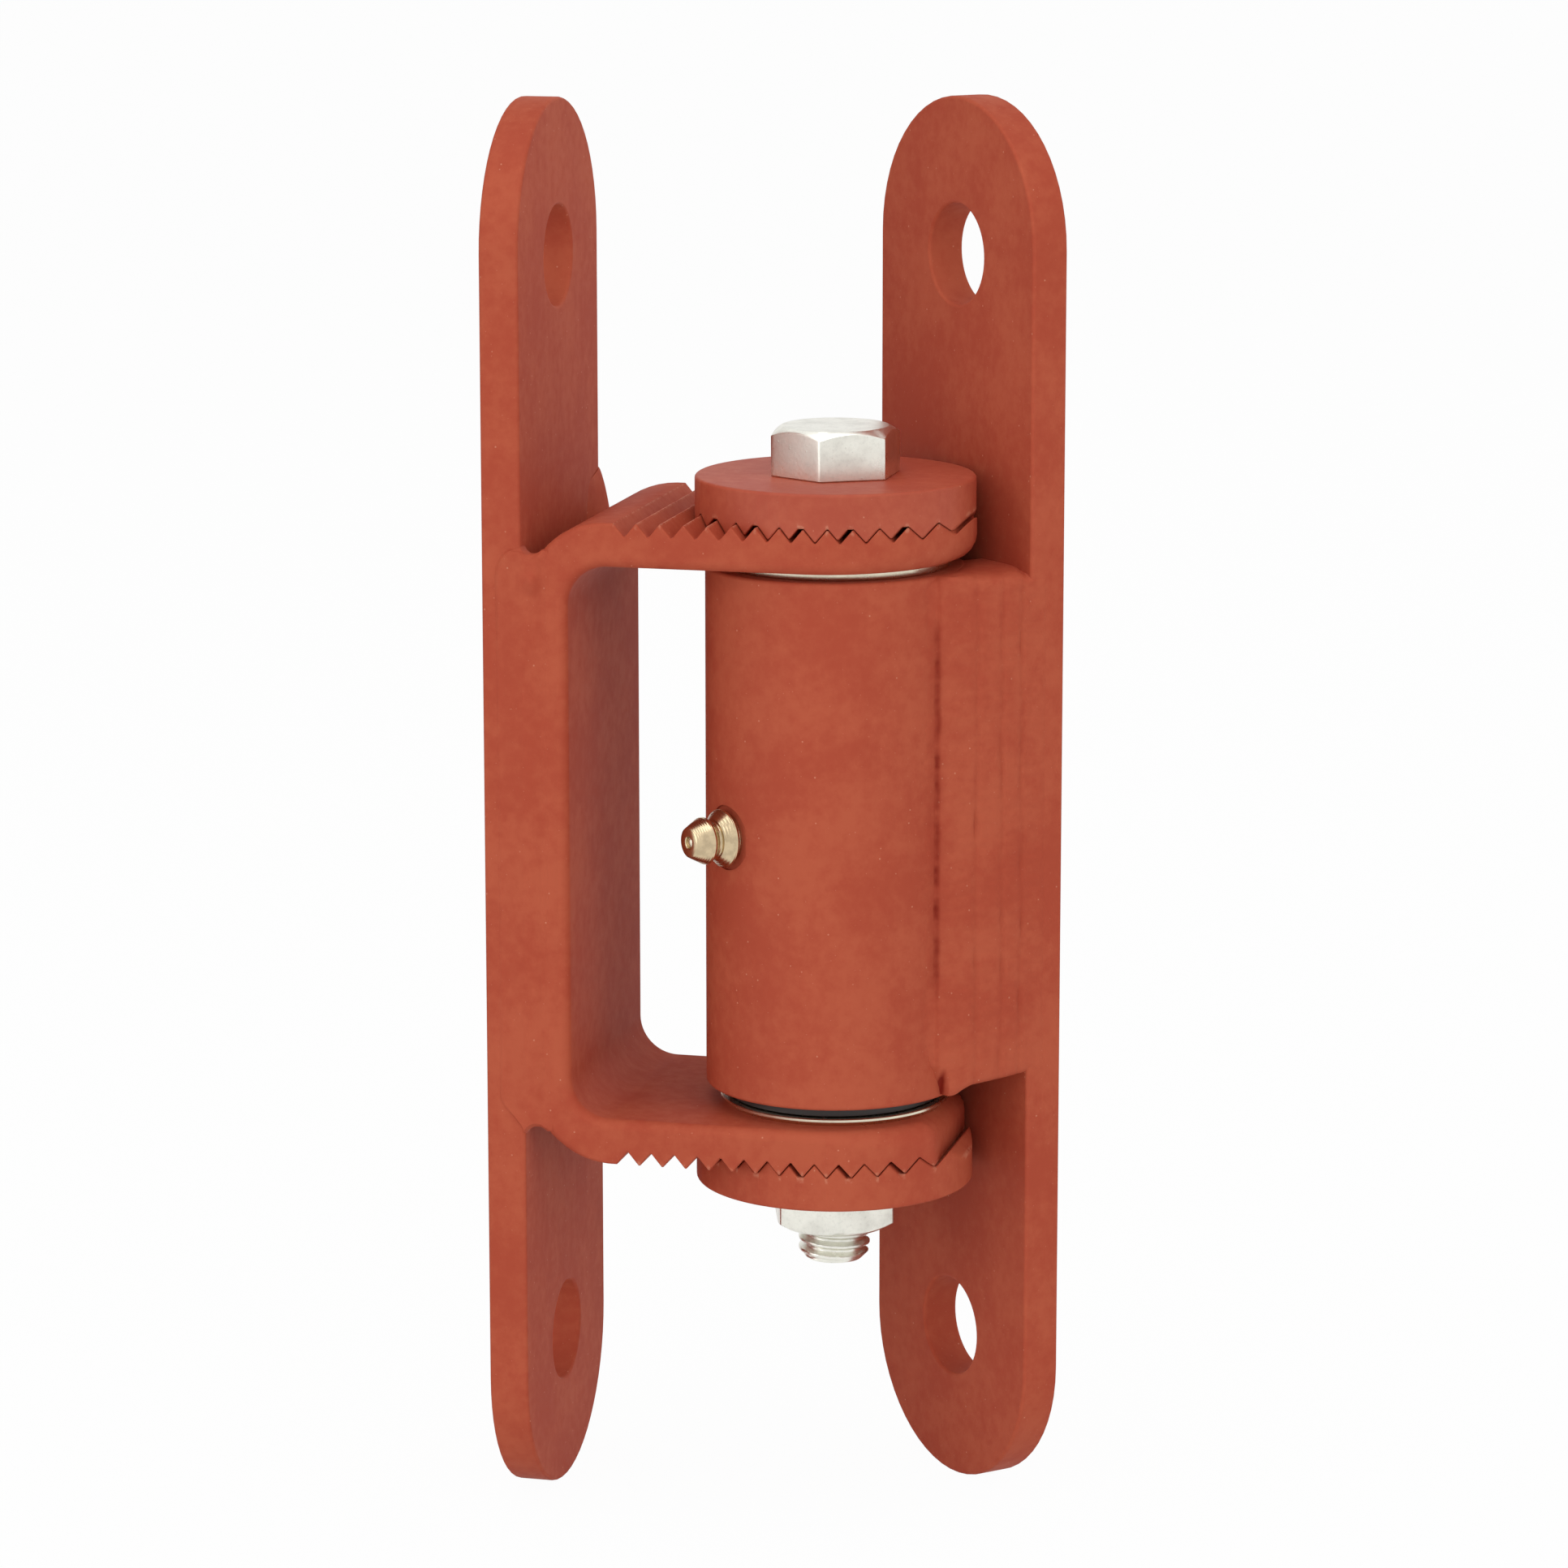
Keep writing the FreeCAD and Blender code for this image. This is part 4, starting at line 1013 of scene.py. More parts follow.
def bend_rings(sizes, side, steps=14):
    """Cross-sections round one bend, from the arm to the web."""
    centre = Vector((-AXIS_TO_POST + BAR_THICKNESS + sizes.bend_radius,
                     side * (ARM_INNER - sizes.bend_radius)))
    plan = Plan(BAR_HALF_WIDTH)
    rings = []
    for step in range(1, steps + 1):
        turn = QUARTER_TURN * step / steps
        away = Vector((-math.sin(turn), side * math.cos(turn)))
        part = step / steps
        swell = min(1.0, 2.5 * part)
        outer_round = sizes.arm_round + (sizes.bend_round - sizes.arm_round) * swell
        outer_round += (sizes.web_round - sizes.bend_round) * max(0.0, 2 * part - 1)
        outer = centre + away * (sizes.bend_radius + BAR_THICKNESS)
        inner = centre + away * sizes.bend_radius
        rings.append(section(outer, inner, -AXIS_TO_POST, plan, (outer_round, sizes.inner_round)))
    return rings


def slot_cutter(sizes, side, steps=24):
    """The stadium-shaped hole through one arm."""
    half = sizes.slot_width / 2
    outline = arc_points((-sizes.slot_back, 0), half, QUARTER_TURN, HALF_TURN * 1.5, steps)
    outline += arc_points((sizes.slot_out, 0), half, -QUARTER_TURN, QUARTER_TURN, steps)
    heights = (side * (ARM_INNER - BAR_THICKNESS), side * (ARM_OUTER + BAR_THICKNESS))
    return loft("slot_cutter", [[(x, y, height) for x, y in outline] for height in heights])


class HINGE_OT_yoke(bpy.types.Operator):
    """Build the yoke bent from flat bar, with its toothed and slotted arms"""

    bl_idname = "hinge.yoke"
    bl_label = "Yoke bracket"

    def execute(self, context):
        sizes = context.scene.hinge_yoke
        upper = Plan(BAR_HALF_WIDTH)
        lower = Plan(BAR_HALF_WIDTH, flat=sizes.lower_reach, corner=sizes.lower_corner)
        rings = arm_rings(sizes, upper, 1)[::-1]
        rings += bend_rings(sizes, 1)
        rings += bend_rings(sizes, -1)[::-1]
        rings += arm_rings(sizes, lower, -1)
        piece = loft("yoke_bar", rings)
        face = ARM_OUTER - 1.5 * sizes.arm_round

        def side_of(spot):
            toothed = abs(spot.z) > face and spot.x > -sizes.teeth_start - 0.02 * MM
            return math.copysign(1.0, spot.z) if toothed else 0.0

        mark_teeth(piece, side_of)
        values = {"Pitch": sizes.tooth_pitch, "Depth": TOOTH_DEPTH, "Relief": 0.0,
                  "Bluntness": sizes.tooth_blunt, "Finish": FINISHES["primer"]}
        grow(piece, TREES["serration"], values)
        cut(piece, slot_cutter(sizes, 1), slot_cutter(sizes, -1))
        hand_over(piece, PIVOT, "yoke", "primer", ["yoke_bracket"])
        return {"FINISHED"}


def serrated_disc(name, sizes, bolt_hole):
    """A round washer with teeth below; every other tooth is narrower."""
    plan = Plan(WASHER_RADIUS, whole=True)
    places = tooth_places(-plan.tip, plan.tip, sizes.tooth_pitch, sizes.tooth_relief, sizes.tooth_blunt)
    ends = end_places(plan, sizes.rim_round)
    places += ends + [-place for place in ends]
    rings = []
    for along in thin_out(places):
        toothed = Vector((along, ARM_OUTER + sizes.tooth_gap))
        plain = Vector((along, STACK_END))
        rings.append(section(toothed, plain, along, plan, (sizes.arm_round, sizes.rim_round)))
    piece = loft(name, rings)
    mark_teeth(piece, lambda spot: 1.0 if spot.z < ARM_OUTER + 1.5 * sizes.arm_round else 0.0)
    values = {"Pitch": sizes.tooth_pitch, "Depth": TOOTH_DEPTH, "Relief": sizes.tooth_relief,
              "Bluntness": sizes.tooth_blunt, "Finish": FINISHES["primer"]}
    grow(piece, TREES["serration"], values)
    hole = circle((0, 0), bolt_hole / 2)
    heights = (ARM_INNER, STACK_END + BAR_THICKNESS)
    cut(piece, loft("hole_cutter", [[(x, y, height) for x, y in hole] for height in heights]))
    return piece


class HINGE_OT_serrated_washers(bpy.types.Operator):
    """Build the two serrated clamp washers"""

    bl_idname = "hinge.serrated_washers"
    bl_label = "Serrated washers"

    def execute(self, context):
        sizes = context.scene.hinge_yoke
        upper = serrated_disc("clamp_washer_upper", sizes, sizes.slot_width)
        hand_over(upper, PIVOT, "yoke", "primer_washer", ["upper_serrated_washer"])
        lower = serrated_disc("clamp_washer_lower", sizes, sizes.slot_width)
        over = PIVOT @ Matrix.Rotation(HALF_TURN, 4, "X")
        hand_over(lower, over, "yoke", "primer", ["lower_serrated_washer"])
        return {"FINISHED"}


def hexagon_radius(turn, sizes):
    """Distance from a hexagon's centre to its side at an angle; the corners are blunted."""
    sixth = FULL_TURN / 6
    off = turn % sixth - sixth / 2
    inner = sizes.across_flats / 2
    return min(inner / math.cos(off), inner / math.cos(sixth / 2) - sizes.corner_blunt)


def chamfered_end(radius, sizes, end, inward):
    """Profile points of a hexagon's chamfered end, from its face to its side."""
    face_radius, soft = sizes.face_diameter / 2, sizes.arris_round
    meet = end + inward * max(0.0, radius - face_radius) * CHAMFER_SLOPE
    rise = soft * CHAMFER_SLOPE
    return [(face_radius - soft, end), (face_radius + soft, end + inward * rise),
            (radius - soft, meet - inward * rise * 0.6), (radius, meet + inward * soft)]


class HINGE_OT_fasteners(bpy.types.Operator):
    """Build the pivot bolt with its thread, and its nut"""

    bl_idname = "hinge.fasteners"
    bl_label = "Bolt and nut"

    def execute(self, context):
        sizes = context.scene.hinge_fasteners
        bolt_radius = sizes.thread_diameter / 2
        foot = STACK_END
        top = BOLT_HIGH.z

        def head_profile(turn):
            radius = hexagon_radius(turn, sizes)
            soft = sizes.head_round
            rim = chamfered_end(radius, sizes, top, -1)
            return [(0, foot), (radius - soft, foot), (radius, foot + soft), *rim[::-1], (0, top)]

        head = turned_piece("bolt_head", head_profile, HEXAGON_SEGMENTS)
        hand_over(head, PIVOT @ Matrix.Rotation(sizes.head_turn, 4, "Z"), "yoke", "zinc", [])
        shank = new_piece("pivot_bolt_dressed", [(0, 0, 0)], [])
        values = {"Radius": bolt_radius, "Length": foot - BOLT_LOW.z, "Pitch": sizes.thread_pitch,
                  "Depth": sizes.thread_depth, "Tip": sizes.tip_chamfer,
                  "Thread end": NUT_HIGH.z - BOLT_LOW.z, "Around": THREAD_COLUMNS,
                  "Rows": THREAD_ROWS, "Finish": FINISHES["zinc"]}
        grow(shank, TREES["thread"], values)
        shank.data.transform(Matrix.Translation((0, 0, BOLT_LOW.z)))
        tidy(shank)
        hand_over(shank, PIVOT, "yoke", "zinc", [])
        bolt = join_pieces([shank, head])
        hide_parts("pivot_bolt")

        def nut_profile(turn):
            radius = hexagon_radius(turn, sizes)
            lower = chamfered_end(radius, sizes, NUT_LOW.z, 1)
            upper = chamfered_end(radius, sizes, NUT_HIGH.z, -1)
            return [(bolt_radius, NUT_HIGH.z), (bolt_radius, NUT_LOW.z + sizes.nut_mouth),
                    (bolt_radius + sizes.nut_mouth, NUT_LOW.z), *lower, *upper[::-1]]

        nut = turned_piece("pivot_nut_dressed", nut_profile, HEXAGON_SEGMENTS)
        hand_over(nut, PIVOT @ Matrix.Rotation(sizes.nut_turn, 4, "Z"), "yoke", "zinc", ["pivot_nut"])
        return {"FINISHED"}


def join_pieces(pieces):
    """Join finished pieces into the first one."""
    work = bmesh.new()
    for piece in pieces:
        work.from_mesh(piece.data)
    first = pieces[0]
    work.to_mesh(first.data)
    work.free()
    for piece in pieces[1:]:
        bpy.data.objects.remove(piece)
    return first


def nipple_turn():
    """Turn that lays a piece's Z axis along the nipple's axis."""
    return NIPPLE_AXIS.to_track_quat("Z", "Y").to_matrix().to_4x4()


def nipple_place(distance):
    """A place on the nipple's axis, a distance out from the pivot."""
    height = (BARREL_LOW.z + BARREL_HIGH.z) / 2
    centre = PIVOT @ Matrix.Translation((0, 0, height))
    return centre @ nipple_turn() @ Matrix.Translation((0, 0, distance))


def rod_cutter(radius, start, stop):
    """A cylinder along the nipple's axis, in the leaf's own axes."""
    outline = circle((0, 0), radius)
    cutter = loft("rod_cutter", [[(x, y, height) for x, y in outline] for height in (start, stop)])
    cutter.data.transform(LEAF.inverted() @ nipple_place(0))
    return cutter


def thrust_ring_profile(sizes, node, bevel):
    """Closed profile of a thrust washer with a bevel on the side of the arm."""
    low, high = box_in(PIVOT, node)
    arm, barrel = (high.z, low.z) if low.z > 0 else (low.z, high.z)
    bore = sizes.ring_bore / 2
    lip = barrel + (arm - barrel) * (1 - (1 - sizes.ring_lip) * bevel / sizes.ring_bevel)
    soft = barrel + (lip - barrel) * 0.3
    return [(bore, arm), (RING_RADIUS - bevel, arm), (RING_RADIUS, lip), (RING_RADIUS, soft),
            (RING_RADIUS - sizes.ring_round, barrel), (bore, barrel)]


class HINGE_OT_barrel(bpy.types.Operator):
    """Build the barrel, the two thrust washers and the flanged bush"""

    bl_idname = "hinge.barrel"
    bl_label = "Barrel and rings"

    def execute(self, context):
        sizes = context.scene.hinge_barrel
        bore = BARREL_RADIUS - sizes.wall
        shape = ring_profile(bore, BARREL_RADIUS, BARREL_LOW.z, BARREL_HIGH.z, sizes.edge_round)
        barrel = turned_piece("barrel_tube", lambda turn: shape, BARREL_SEGMENTS)
        seat = BARREL_RADIUS - sizes.seat_depth
        cut(barrel, rod_cutter(sizes.seat_diameter / 2, seat, BARREL_RADIUS + sizes.wall),
            rod_cutter(sizes.port_diameter / 2, bore - sizes.wall, BARREL_RADIUS))
        hand_over(barrel, LEAF, "leaf", "primer", ["barrel"])
        for end, bevel in (("upper", sizes.ring_round), ("lower", sizes.ring_bevel)):
            node = f"{end}_thrust_washer"
            rim = thrust_ring_profile(sizes, node, bevel)
            ring = turned_piece(f"thrust_ring_{end}", lambda turn, rim=rim: rim, BARREL_SEGMENTS)
            hand_over(ring, PIVOT, "yoke", "bright_steel", [node])
        flange_radius = BUSH_HIGH.y
        flange_top = BUSH_LOW.z + sizes.flange_thickness
        rim = ring_profile(sizes.bush_bore / 2, flange_radius, BUSH_LOW.z, flange_top, sizes.ring_round)
        bush_shape = [*rim[:-1], (bore, flange_top), (bore, BUSH_HIGH.z)]
        bush_shape.append((sizes.bush_bore / 2, BUSH_HIGH.z))
        bush = turned_piece("flanged_bush", lambda turn: bush_shape)
        hand_over(bush, LEAF, "leaf", "bush", ["lower_bush"])
        return {"FINISHED"}


def cap_strips(rows, row, vertices, dome, strips=6):
    """Faces that close one end of a weld. They run from its face to the points behind it and
    bulge by the dome's height; the points in between are added to the vertices."""
    count = len(rows[row])
    half = count // 2
    base = (row % len(rows)) * count
    lanes = [[base + index for index in range(half)]]
    for strip in range(1, strips):
        part = strip / strips
        bulge = Vector((0, 0, dome * 4 * part * (1 - part)))
        lanes.append([len(vertices) + index for index in range(half)])
        for index in range(half):
            behind = Vector(rows[row][count - 1 - index])
            vertices.append(Vector(rows[row][index]).lerp(behind, part) + bulge)
    lanes.append([base + count - 1 - index for index in range(half)])
    faces = [tuple(lane[0] for lane in lanes), tuple(lane[-1] for lane in lanes)]
    for first, second in zip(lanes, lanes[1:]):
        faces += [(first[index], first[index + 1], second[index + 1], second[index])
                  for index in range(half - 1)]
    return faces


def weld_piece(name, skin, wobble, place, body, node):
    """Skin the rows of a weld, give its face ripples and lumps, and hand it over. The first
    half of each row is the face that shows, and the other half lies behind it."""
    dome, calm_rows, calm_points = 0.2 * MM, 6, 4
    rows, painted_shade_values = skin
    count = len(rows[0])
    vertices = [point for row in rows for point in row]
    faces = skin_faces(len(rows), count)
    faces += cap_strips(rows, 0, vertices, -dome)
    faces += cap_strips(rows, -1, vertices, dome)
    mesh = bpy.data.meshes.new(name)
    mesh.from_pydata(vertices, [], faces)
    strength = []
    for row in range(len(rows)):
        fade = min(1.0, min(row, len(rows) - 1 - row) / calm_rows)
        for index in range(count):
            inner = min(index, count // 2 - 1 - index)
            strength.append(fade * max(0.0, min(1.0, inner / calm_points)))
    extra = [0.0] * (len(vertices) - len(strength))
    mesh.attributes.new("weld_face", "FLOAT", "POINT").data.foreach_set("value", strength + extra)
    # The crease attribute carries the painted shade of the undercut, the slit and the pass lines.
    mesh.attributes.new("crease", "FLOAT", "POINT").data.foreach_set("value", painted_shade_values + extra)
    piece = put_in_scene(name, mesh)
    tidy(piece)
    grow(piece, TREES["bead"], {**wobble, "Finish": FINISHES["primer_weld"]})
    hand_over(piece, place, body, "primer_weld", [node])


def along_line(corners, part):
    """The point at a part of the way along a broken line."""
    lengths = [(second - first).length for first, second in zip(corners, corners[1:])]
    left = part * sum(lengths)
    for first, second, piece in zip(corners, corners[1:], lengths):
        if left <= piece:
            return first.lerp(second, left / piece)
        left -= piece
    return corners[-1]


def bump_at(value, middle, width):
    """A smooth bump of height 1 about a middle."""
    return math.exp(-((value - middle) / width) ** 2)


def soft_above(value, width):
    """The value where it is above zero, else zero, with a smooth bend between."""
    if abs(value) >= width:
        return max(0.0, value)
    return (value + width) ** 2 / (4 * width)


def wander(height, size, seed):
    """Smooth noise from -1 to 1 along a height."""
    return noise.noise(Vector((height / size, seed, 0)))


class GateWeld:
    """The heavy weld between barrel and gate plate, in the leaf's axes. Side is -1 at the
    plate's near edge and 1 at its far edge. A spot is a distance across the weld's face from
    its toe on the barrel."""

    FOOT_DROP = 0.8 * MM  # of the foot at the toe, below the solid's foot
    FOOT_RISE = 1.2 * MM  # of the foot from the toe to the plate
    FOOT_SAG = 0.9 * MM  # of the foot on the plate's edge
    SLIT_SAG = 0.7 * MM  # of the foot beside the slit
    SLIT_REACH = (3.4 * MM, 2.2 * MM)  # middle and width of that sag
    TOP_DROP = 0.15 * MM  # of the top at the toe, below the solid's top
    TOP_FALL = 0.2 * MM  # of the top from the toe to the plate
    TOP_NICK = 0.4 * MM  # where the top meets the plate's edge
    CREASE_START = (11 * MM, 5 * MM)  # height above the foot where the undercut starts, and its fade
    CREASE_END = (5 * MM, 3 * MM)  # the same below the top
    LIP_START = (0.8 * MM, 0.7 * MM)  # spot where the proud lip starts, and its fade
    LIP_LENGTH = 5 * MM  # over which the lip falls off
    FEATHER = 0.03 * MM  # how far the lead sinks into the barrel
    BACK_EDGE = 0.12 * MM  # how far the last spot sinks into the plate's edge
    ROOT = ((16.2 * MM, 6 * MM), (11.4 * MM, 13.2 * MM))  # hidden corners in the barrel's wall

    def __init__(self, sizes, side, seed):
        self.sizes = sizes
        self.side = side
        self.seed = seed
        self.low, self.high = box_in(LEAF, "gate_weld_front" if side < 0 else "gate_weld_rear")
        edge = GATE_LOW.y if side < 0 else GATE_HIGH.y
        self.toe = BARREL_RADIUS * Vector((math.cos(sizes.toe_turn), side * math.sin(sizes.toe_turn)))
        self.chord = Vector((GATE_LOW.x, edge - side * 0.02 * MM)) - self.toe
        self.width = self.chord.length
        outward = Vector((-self.chord.y, self.chord.x)).normalized() * -side
        self.outward = outward * math.copysign(1, outward.y * side)
        self.spots = self.spots_across()

    def spots_across(self, lead_steps=10, fine_steps=22, coarse_steps=34, tail_steps=8):
        """Spots from the feathered lead over the face to the end on the plate's edge, close
        together beside the undercut."""
        sizes = self.sizes
        spots = [-sizes.lead * step / lead_steps for step in range(lead_steps, 0, -1)]
        spots += [sizes.fine_step * step for step in range(fine_steps)]
        coarse_start = spots[-1]
        coarse_width = self.width - coarse_start
        spots += [coarse_start + coarse_width * step / coarse_steps for step in range(1, coarse_steps + 1)]
        return spots + [self.width + sizes.overlap * step / tail_steps for step in range(1, tail_steps + 1)]

    def on_edge(self, spot):
        """0 where a spot lies on the face, up to 1 at the weld's end on the plate's edge."""
        return smooth_step((spot - self.width) / self.sizes.overlap)

    def near_slit(self, spot):
        """1 beside the slit in the weld's foot, and 0 far from it."""
        return bump_at(spot, *self.SLIT_REACH)

    def base(self, spot):
        """The smooth face in plan. It bulges outward and runs onto the barrel with a fillet."""
        part = min(1.0, spot / self.width)
        past = max(0.0, spot - self.width)
        bow = self.width ** 2 / (8 * self.sizes.face_radius)
        base = self.toe + self.chord * part + self.outward * bow * 4 * part * (1 - part) + Vector((past, 0))
        barrel = math.sqrt(BARREL_RADIUS ** 2 - min(base.x, 9 * MM) ** 2) - self.side * base.y
        feather = self.FEATHER * smooth_step(-spot / self.sizes.lead)
        base.y += self.side * (soft_above(barrel, self.sizes.blend_depth) - feather)
        return base

    def ends(self, spot):
        """Heights of the weld's foot and of its top at a spot."""
        part = min(1.0, spot / self.width)
        turn_in = max(0.0, min(1.0, 1 - spot / (2 * MM)))
        foot = self.low.z - self.FOOT_DROP + self.sizes.end_round * (1 - math.sqrt(1 - turn_in ** 2))
        foot += self.FOOT_RISE * part - self.FOOT_SAG * self.on_edge(spot)
        foot -= self.SLIT_SAG * self.near_slit(spot)
        top = self.high.z - self.TOP_DROP - self.TOP_FALL * smooth_step(part * 1.2 - 0.2)
        top -= self.TOP_NICK * bump_at(spot, self.width - 0.5 * MM, 0.5 * MM)
        return foot, top

    def undercut(self, spot, height, foot):
        """The ragged groove beside the barrel, the slit in the foot and the proud lip beside
        them: how far they move the face outward, and how much painted shade darkens them."""
        sizes, seed = self.sizes, self.seed
        inside = fade_in(height - self.low.z, *self.CREASE_START)
        inside *= fade_in(self.high.z - height, *self.CREASE_END)
        ragged = 0.55 + 0.8 * wander(height, 2.6 * MM, seed) + 0.6 * wander(height, 0.9 * MM, seed)
        drift = 0.22 * MM * wander(height, 3.1 * MM, seed + 1)
        ragged = max(0.0, min(1.0, ragged)) * inside
        crease = ragged * bump_at(spot, sizes.crease_place + drift, sizes.crease_width)
        # Painted shade in the undercut and, fainter, beside the toe.
        painted_shade = 0.75 * crease + 0.25 * inside * bump_at(spot, 0.5 * MM + 2 * drift, 1.0 * MM)
        slit = 1 - fade_in(height - foot, 1.0 * MM, sizes.slit_height)
        slit *= fade_in(spot, -sizes.lead, 1.5 * MM) * (1 - fade_in(spot, sizes.slit_place, 0.5 * MM))
        # Painted shadow in the slit at the foot.
        painted_shade += 1.8 * slit * bump_at(spot, sizes.slit_place, sizes.slit_width)
        proud = fade_in(spot, *self.LIP_START) * math.exp(-spot / self.LIP_LENGTH)
        proud *= 1 + 0.5 * wander(height, 4 * MM, seed + 2)
        return sizes.undercut * (proud - 0.5 * crease - 3.0 * slit), painted_shade

    def seam_depth(self, along, height):
        """Depth in millimetres of the lines between the passes, a distance out from the pivot."""
        depth = 0.0
        for seam in self.sizes.seams:
            shift = 0.4 * MM * wander(height, 9 * MM, self.seed + seam / MM)
            strength = 0.14 + 0.45 * max(0.0, wander(height, 5 * MM, self.seed + 2 * seam / MM))
            depth += strength * bump_at(along, seam + shift, self.sizes.crease_width)
        return depth

    def points_behind(self, edge, height):
        """The hidden points of a row, from the plate's edge through the corner to the toe."""
        side, toe = self.side, self.toe
        root = [(GATE_LOW.x + 0.6 * MM, 6 * MM), *self.ROOT]
        corners = [Vector((edge[0], edge[1] - side * 1.0 * MM))]
        corners += [Vector((along, side * across)) for along, across in root]
        corners.append(Vector((toe.x - 0.1 * MM, toe.y - side * 0.8 * MM)))
        parts = [1 - max(0.0, spot) / self.spots[-1] for spot in self.spots[::-1]]
        return [(*along_line(corners, part), height) for part in parts]

    def rows(self, row_count=180):
        """Rows of the weld from foot to top, with how much painted shade darkens each point."""
        sizes = self.sizes
        span = self.high.z - self.low.z
        last = self.spots[-1]
        smooth_face = [(spot, self.base(spot), *self.ends(spot)) for spot in self.spots]
        rows, painted_shade_values = [], []
        for row in range(row_count + 1):
            up = row / row_count
            tuck = fall(min(up, 1 - up) * span, sizes.end_round)
            face = []
            for spot, base, foot, top in smooth_face:
                height = foot + (top - foot) * up
                lift, painted_shade = self.undercut(spot, height, foot)
                seam = self.seam_depth(base.x, height)
                lift -= seam * MM * fade_in(spot, 0, 0.6 * MM) * fade_in(last - spot, 0, 1.5 * MM)
                blunt = fade_in(spot, -sizes.lead, 1.2 * MM) * fade_in(last - spot, 0, 1 * MM)
                lift -= tuck * blunt * (1 - 0.7 * self.near_slit(spot))
                lift -= self.BACK_EDGE * fade_in(spot, last - 0.4 * MM, 0.4 * MM)
                on_edge = self.on_edge(spot)
                place = base + self.outward * lift * (1 - on_edge)
                place += Vector((0, self.side * min(0.0, lift))) * on_edge
                face.append((place.x, place.y, height))
                # Painted shade: the undercut, the slit and the lines between passes are darkened.
                painted_shade_values.append(painted_shade + 0.45 * seam)
            behind = self.points_behind(face[-1], self.low.z + 0.9 * MM + (span - 1.1 * MM) * up)
            rows.append(face + behind)
            painted_shade_values += [0.0] * len(behind)
        return rows, painted_shade_values


class WeldEnd:
    """Side view of a ground weld's end, in the wedge between the plate and a bend: a round
    hollow that runs smoothly into the bend."""

    TUCK = (0.08 * MM, 0.9 * MM)  # how far it lies under the bend: where it meets it, and further out

    def __init__(self, sizes, bend_radius):
        self.bend = bend_radius + BAR_THICKNESS
        self.middle = ARM_INNER - bend_radius
        self.round = sizes.notch_round
        self.place = sizes.notch_place
        reach = math.sqrt((self.bend + self.round) ** 2 - (self.bend - self.place) ** 2)
        self.foot = self.middle + reach - self.round
        self.touch = self.place + (self.bend - self.place) * self.round / (self.bend + self.round)
        self.climb_depth = sizes.climb_depth

    def height(self, out, climb):
        """Height of the end, a distance out from the plate, with how far it climbs the plate."""
        out = max(0.0, out)
        if out > self.touch:
            near, more = self.TUCK
            tuck = near + more * fade_in(out, self.touch, 1.0 * MM)
            return self.middle + math.sqrt(self.bend ** 2 - (self.bend - out) ** 2) - tuck
        hollow = self.foot + self.round - math.sqrt(self.round ** 2 - (out - self.place) ** 2)
        slope = self.foot + climb * (1 - (out / self.climb_depth) ** 1.5)
        return max(hollow, slope)


def ground_toe(sizes, to_end, rounded):
    """Where a ground weld's face begins, out from the plate, and how proud it is, a distance
    from its end. The end is rounded or tapers off."""
    swing = max(0.0, 1 - to_end / (4.5 * MM))
    spread = math.sqrt(1 - swing ** 2) if rounded else smooth_step(to_end / (5 * MM))
    proud = 0.06 * MM + (0.50 if rounded else 0.30) * MM * math.exp(-to_end / (7 * MM))
    return -0.3 * MM - sizes.yoke_reach * spread, proud


def yoke_weld_rows(sizes, end, side, row_count=160, face_points=36):
    """Rows of the ground weld beside the web, from foot to top, in the pivot's axes. The front
    weld has a hump near its top, and the rear one climbs up the plate in the wedge above the
    bend."""
    plate_face = -AXIS_TO_POST
    stop = end.touch + 1.0 * MM
    hump_out, hump_up = 2.0 * MM, end.foot - 3.6 * MM
    sunk_in, rim = 0.05 * MM, 0.08
    rows = []
    for row in range(row_count + 1):
        up = row / row_count
        climb = sizes.climb * fade_in(up, 0.8, 0.2) if side > 0 else 0.0
        to_end = min(up, 1 - up) * 2 * end.foot
        tuck = fall(to_end, 0.9 * MM) * 0.7
        start, proud = ground_toe(sizes, to_end, side < 0 and up > 0.5)
        face, behind = [], []
        for step in range(face_points):
            part = step / (face_points - 1)
            out = start + (stop - start) * part
            share_out = max(0.0, min(1.0, out / end.touch))
            narrowing = (BAR_HALF_WIDTH - PLATE_HALF_WIDTH) * smooth_step(share_out * 0.8)
            across = PLATE_HALF_WIDTH + narrowing
            height = (up - 0.5) * 2 * end.height(out, climb)
            keep = fade_in(part, 0, 0.09) * fade_in(1 - part, 0, 0.28)
            lift = (proud - tuck) * keep - sunk_in
            lift -= 2 * sunk_in * (1 - fade_in(part, 0, rim)) + sunk_in * (1 - fade_in(1 - part, 0, rim))
            if side < 0:
                hump = bump_at(out, hump_out, 1.2 * MM) * bump_at(height, hump_up, 1.4 * MM)
                lift += sizes.hump * hump * keep
            face.append((plate_face + out, side * (across + lift), height))
            taper = climb / sizes.climb * (1 - fade_in(out, 1.2 * MM, 1.0 * MM))
            pinch = taper * fade_in(out, 0, 0.3 * MM)
            sunk = 1.0 * MM if out < 0 else 2.6 * MM - 1.0 * MM * share_out
            sunk += 5.0 * MM * pinch
            back_out = out - (out + 0.2 * MM) * pinch
            back_height = height - up * 0.1 * MM - 1.5 * MM * taper
            behind.append((plate_face + back_out, side * (across - sunk), back_height))
        rows.append(face + behind[::-1])
    return rows, [0.0] * len(rows) * len(rows[0])


